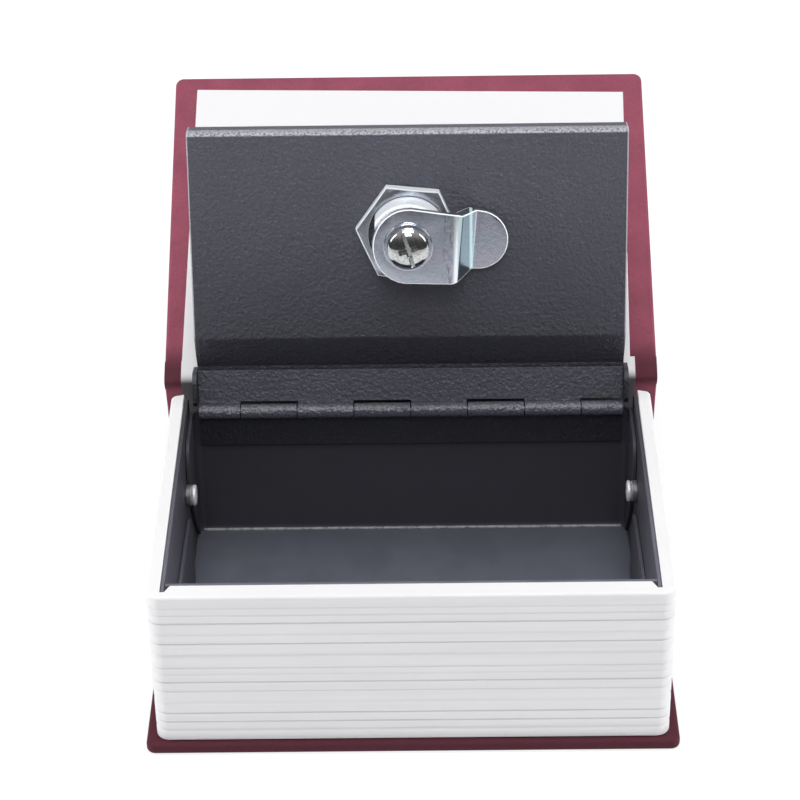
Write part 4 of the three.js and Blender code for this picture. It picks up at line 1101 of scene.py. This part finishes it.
class SAFE_OT_lock(bpy.types.Operator):
    """Makes the barrel, and finishes the nut, plug, washers and cam"""
    bl_idname = "safe.lock"
    bl_label = "Cam Lock"

    def execute(self, context):
        lock = context.scene.safe_lock
        # the painted edge highlight for the rounded edges of the nut and the cam
        rim = Materials.get("edge_highlight_zinc")
        self.barrel(lock, Materials.get("matt_zinc"))
        pieces = {}
        for node, name, finish, body, radius, edges in (
                ("lock_nut", "nut_plated", "grey_zinc", "lid", 0.3, rim),
                ("lock_plug", "plug_plated", "dull_zinc", "lock_turning", 0.1, None),
                ("stop_washer", "stop_washer_plated", "zinc", "lock_turning", 0.12, None),
                ("cam", "cam_plated", "cam_zinc", "lock_turning", 0.22, rim),
                ("cam_washer", "cam_washer_plated", "zinc", "lock_turning", 0.15, None)):
            pieces[node] = softened(
                node, name, Materials.get(finish), body, radius * MM, rim=edges)
        self.widen_neck(pieces["cam"], lock)
        return {"FINISHED"}

    def widen_neck(self, cam, lock):
        """Widens the cam's neck to the photograph, and less and less along its bent web."""
        web_end, web, hole, round_end = 14 * MM, 3.5 * MM, 3 * MM, 1.02
        into = TURNED_LOCK.inverted()
        for vert in cam.data.vertices:
            spot = into @ vert.co
            reach = max(0.0, min(1.0, (web_end - spot.x) / web))
            if abs(spot.y) > hole or spot.x < -hole:
                spot.y *= 1 + (lock.neck - 1) * reach
            if spot.x < 0:
                spot.x *= round_end
            vert.co = TURNED_LOCK @ spot

    def barrel(self, lock, zinc):
        """The bezel outside the lid, and the barrel with its two flats and bore inside it."""
        top, bezel, round_edge = -1.15, 11, 0.9
        face = top - 3
        radius, rise = lock.barrel / MM, lock.rise / MM
        profile = [(0, rise), (radius - 0.5, rise), (radius - 0.1, rise - 0.4), (radius, rise - 0.8),
                   (radius, top), (bezel - 0.2, top), (bezel, top - 0.2), (bezel, face + round_edge)]
        for step in range(1, 6):
            angle = math.pi / 2 * step / 5
            profile.append((bezel - round_edge * (1 - math.cos(angle)),
                            face + round_edge * (1 - math.sin(angle))))
        profile += [(6.6, face), (6.2, face + 0.35), (0, face + 0.35)]
        body = loose("lock_barrel", spun(in_metres(profile), 72))
        cut = bmesh.new()
        bore = 5.6 * MM
        bmesh.ops.create_cone(
            cut, cap_ends=True, segments=48, radius1=bore, radius2=bore, depth=40 * MM)
        cutters = [loose("bore", cut)]
        near, far = lock.flats / 2, lock.barrel + 2 * MM
        for left, right in ((-far, -near), (near, far)):
            flat = bmesh.new()
            slab(flat, (left, -far, (top + 0.02) * MM), (right, far, lock.rise + 2 * MM))
            cutters.append(loose("flat", flat))
        carved(body, cutters)
        body.data.transform(LOCK)
        dress(body, zinc, "lid", ("lock_body",), 30)


class SAFE_OT_screw(bpy.types.Operator):
    """Makes the cam screw with its crossed recess"""
    bl_idname = "safe.screw"
    bl_label = "Cam Screw"

    def execute(self, context):
        lock = context.scene.safe_lock
        low, edge, foot = 14.8, 0.8, 6
        head, height = lock.head / MM, lock.head_height / MM
        profile = [(0, low - foot), (1.7, low - foot), (2, low - foot + 0.4), (2, low),
                   (head - 0.15, low), (head, low + 0.15), (head, low + edge - 0.2)]
        for step in range(13):
            angle = math.pi / 2 * step / 12
            radius = 0 if step == 12 else (head - 0.08) * math.cos(angle)
            profile.append((radius, low + edge + (height - edge) * math.sin(angle)))
        piece = loose("slotted_screw", spun(in_metres(profile), 72))
        top = low * MM + lock.head_height
        slot_width, slot_depth = 1.15 * MM, 1.1 * MM
        cross_length, cross_width, cross_depth = 4.8 * MM, 1.3 * MM, 2.1 * MM
        slot = self.cutter(lock, 2.2 * lock.head, slot_width, top, slot_depth, 0)
        cross = [self.cutter(lock, cross_length, cross_width, top, cross_depth, turn)
                 for turn in (0, math.pi / 2)]
        carved(piece, [slot] + cross)
        piece.data.transform(TURNED_LOCK)
        dress(piece, Materials.get("screw"), "lock_turning", ("cam_screw",), 30)
        return {"FINISHED"}

    def cutter(self, lock, length, width, top, depth, turn):
        """A straight cutter across the head, drawn in towards its foot."""
        drawn_length, drawn_width = 0.75, 0.7
        bm = bmesh.new()
        slab(bm, (-length / 2, -width / 2, top - depth), (length / 2, width / 2, top + 1 * MM))
        for vert in bm.verts:
            if vert.co.z < top:
                vert.co.x *= drawn_length
                vert.co.y *= drawn_width
        bm.transform(Matrix.Rotation(lock.slot_turn + turn, 4, "Z"))
        return loose("cutter", bm)


class SAFE_OT_stage(bpy.types.Operator):
    """Sets the floor, the lights and the camera"""
    bl_idname = "safe.stage"
    bl_label = "Stage"

    def execute(self, context):
        stage = context.scene.safe_stage
        self.floor()
        self.world(stage)
        self.soft_box("overhead_box", stage.key, (0.0, -0.10, 0.95), 0.6, 0.6)
        self.soft_box("front_box", stage.fill, (0.0, -0.95, 1.05), 0.35, 0.35)
        for name, side in (("left", -1), ("right", 1)):
            self.soft_box(name + "_box", stage.side, (side * 0.75, -0.05, 0.55), 0.5, 0.5)
            low = self.soft_box(name + "_low_box", stage.low, (side * 0.80, -0.02, 0.12), 0.3, 0.2)
            low.visible_glossy = False
        self.camera(context)
        context.scene.view_settings.view_transform = "Standard"
        return {"FINISHED"}

    def floor(self):
        """A pale floor that the camera sees as white, with the safe's shadow left on it, and
        that polished metal sees as white only close by."""
        bm = bmesh.new()
        bmesh.ops.create_grid(bm, x_segments=1, y_segments=1, size=6)
        plane = loose("floor", bm)
        plane.data.transform(Matrix.Translation((0, 0, -0.02 * MM)))
        look = Look("pale_floor", Roughness=0.9)
        look.shader.inputs["Base Color"].default_value = (0.86, 0.86, 0.87, 1)
        look.shader.inputs["Specular IOR Level"].default_value = 0.1
        rays = look.node("LightPath", {}, {})
        shade = look.node("BsdfDiffuse", {}, {"Color": (0.42, 0.42, 0.43, 1)})
        glow = look.node("Emission", {}, {"Strength": 0.66})
        seen = look.node("AddShader", {}, {0: shade.outputs[0], 1: glow.outputs[0]})
        near = look.axis("Y").ramp(-750, -250)
        mirrored = look.node("Emission", {}, {
            "Color": (0.93, 0.96, 1.0, 1.0), "Strength": near * 0.36 + 0.66})
        first = look.node("MixShader", {}, {
            0: rays.outputs["Is Camera Ray"], 1: look.shader.outputs[0], 2: seen.outputs[0]})
        both = look.node("MixShader", {}, {
            0: rays.outputs["Is Glossy Ray"], 1: first.outputs[0], 2: mirrored.outputs[0]})
        look.plug(look.output.inputs["Surface"], both.outputs[0])
        plane.data.materials.append(look.material)

    def world(self, stage):
        """A studio that is bright overhead and behind and dim in front."""
        world = bpy.data.worlds.new("studio")
        bpy.context.scene.world = world
        world.use_nodes = True
        sky = Graph(world.node_tree)
        way = sky.node("TexCoord", {}, {}).outputs["Generated"]
        overhead = sky.part(way, "Z").ramp(0.25, 0.85)
        behind = sky.part(way, "Y").ramp(0.1, 0.8)
        strength = (overhead * 0.8 + behind * 0.4 + 0.16) * stage.sky
        soft = sky.node("Background", {}, {"Color": (0.97, 0.98, 1.0, 1.0), "Strength": strength})
        white = sky.node("Background", {}, {"Strength": 1.0})
        rays = sky.node("LightPath", {}, {})
        mix = sky.node("MixShader", {}, {
            0: rays.outputs["Is Camera Ray"], 1: soft.outputs[0], 2: white.outputs[0]})
        sky.node("OutputWorld", {}, {"Surface": mix.outputs[0]})

    def soft_box(self, name, power, place, width, height):
        """An upright rectangular lamp that faces the safe."""
        lamp = bpy.data.lights.new(name, "AREA")
        lamp.shape = "RECTANGLE"
        lamp.size = width
        lamp.size_y = height
        lamp.energy = power
        ob = bpy.data.objects.new(name, lamp)
        bpy.context.scene.collection.objects.link(ob)
        ob.location = place
        ob.rotation_mode = "QUATERNION"
        ob.rotation_quaternion = (Vector((0, 0, 50 * MM)) - Vector(place)).to_track_quat("-Z", "Y")
        return ob

    def camera(self, context):
        """The photograph's own camera, from its place, pitch, yaw and roll."""
        pitch, yaw, roll = CAMERA_PITCH, CAMERA_YAW, CAMERA_ROLL
        forward = Vector((
            math.sin(yaw) * math.cos(pitch), math.cos(yaw) * math.cos(pitch), -math.sin(pitch)))
        level = Vector((math.cos(yaw), -math.sin(yaw), 0))
        upright = level.cross(forward)
        right = level * math.cos(roll) + upright * math.sin(roll)
        up = upright * math.cos(roll) - level * math.sin(roll)
        data = bpy.data.cameras.new("camera")
        data.lens = CAMERA_LENS
        data.sensor_width = CAMERA_SENSOR
        data.clip_start, data.clip_end = 0.01, 50
        ob = bpy.data.objects.new("camera", data)
        context.scene.collection.objects.link(ob)
        turn = Matrix((right, up, -forward)).transposed().to_4x4()
        ob.matrix_world = Matrix.Translation(CAMERA_PLACE) @ turn
        context.scene.camera = ob


class SAFE_PT_panel(bpy.types.Panel):
    """The safe's pieces, in the 3D view's sidebar"""
    bl_idname = "SAFE_PT_panel"
    bl_label = "Book Safe"
    bl_space_type = "VIEW_3D"
    bl_region_type = "UI"
    bl_category = "Book Safe"

    def draw(self, context):
        layout = self.layout
        for operator in OPERATORS:
            layout.operator(operator.bl_idname)
        for group in GROUPS:
            box = layout.box()
            settings = getattr(context.scene, group)
            for key in settings.__annotations__:
                box.prop(settings, key)


OPERATORS = (
    SAFE_OT_boards,
    SAFE_OT_endpaper,
    SAFE_OT_spine,
    SAFE_OT_page_block,
    SAFE_OT_cash_box,
    SAFE_OT_rivets,
    SAFE_OT_hinge,
    SAFE_OT_lid,
    SAFE_OT_lock,
    SAFE_OT_screw,
    SAFE_OT_stage,
)
GROUPS = {
    "safe_case": CaseSettings,
    "safe_block": BlockSettings,
    "safe_steel": SteelSettings,
    "safe_lock": LockSettings,
    "safe_stage": StageSettings,
}


def register():
    for settings in GROUPS.values():
        bpy.utils.register_class(settings)
    for operator in OPERATORS:
        bpy.utils.register_class(operator)
    bpy.utils.register_class(SAFE_PT_panel)
    for name, settings in GROUPS.items():
        setattr(bpy.types.Scene, name, PointerProperty(type=settings))


def unregister():
    for name in GROUPS:
        delattr(bpy.types.Scene, name)
    bpy.utils.unregister_class(SAFE_PT_panel)
    for operator in reversed(OPERATORS):
        bpy.utils.unregister_class(operator)
    for settings in reversed(list(GROUPS.values())):
        bpy.utils.unregister_class(settings)


def main():
    """Makes the whole scene."""
    register()
    for operator in OPERATORS:
        family, action = operator.bl_idname.split(".")
        getattr(getattr(bpy.ops, family), action)()
    bpy.context.view_layer.update()


if __name__ == "__main__":
    main()
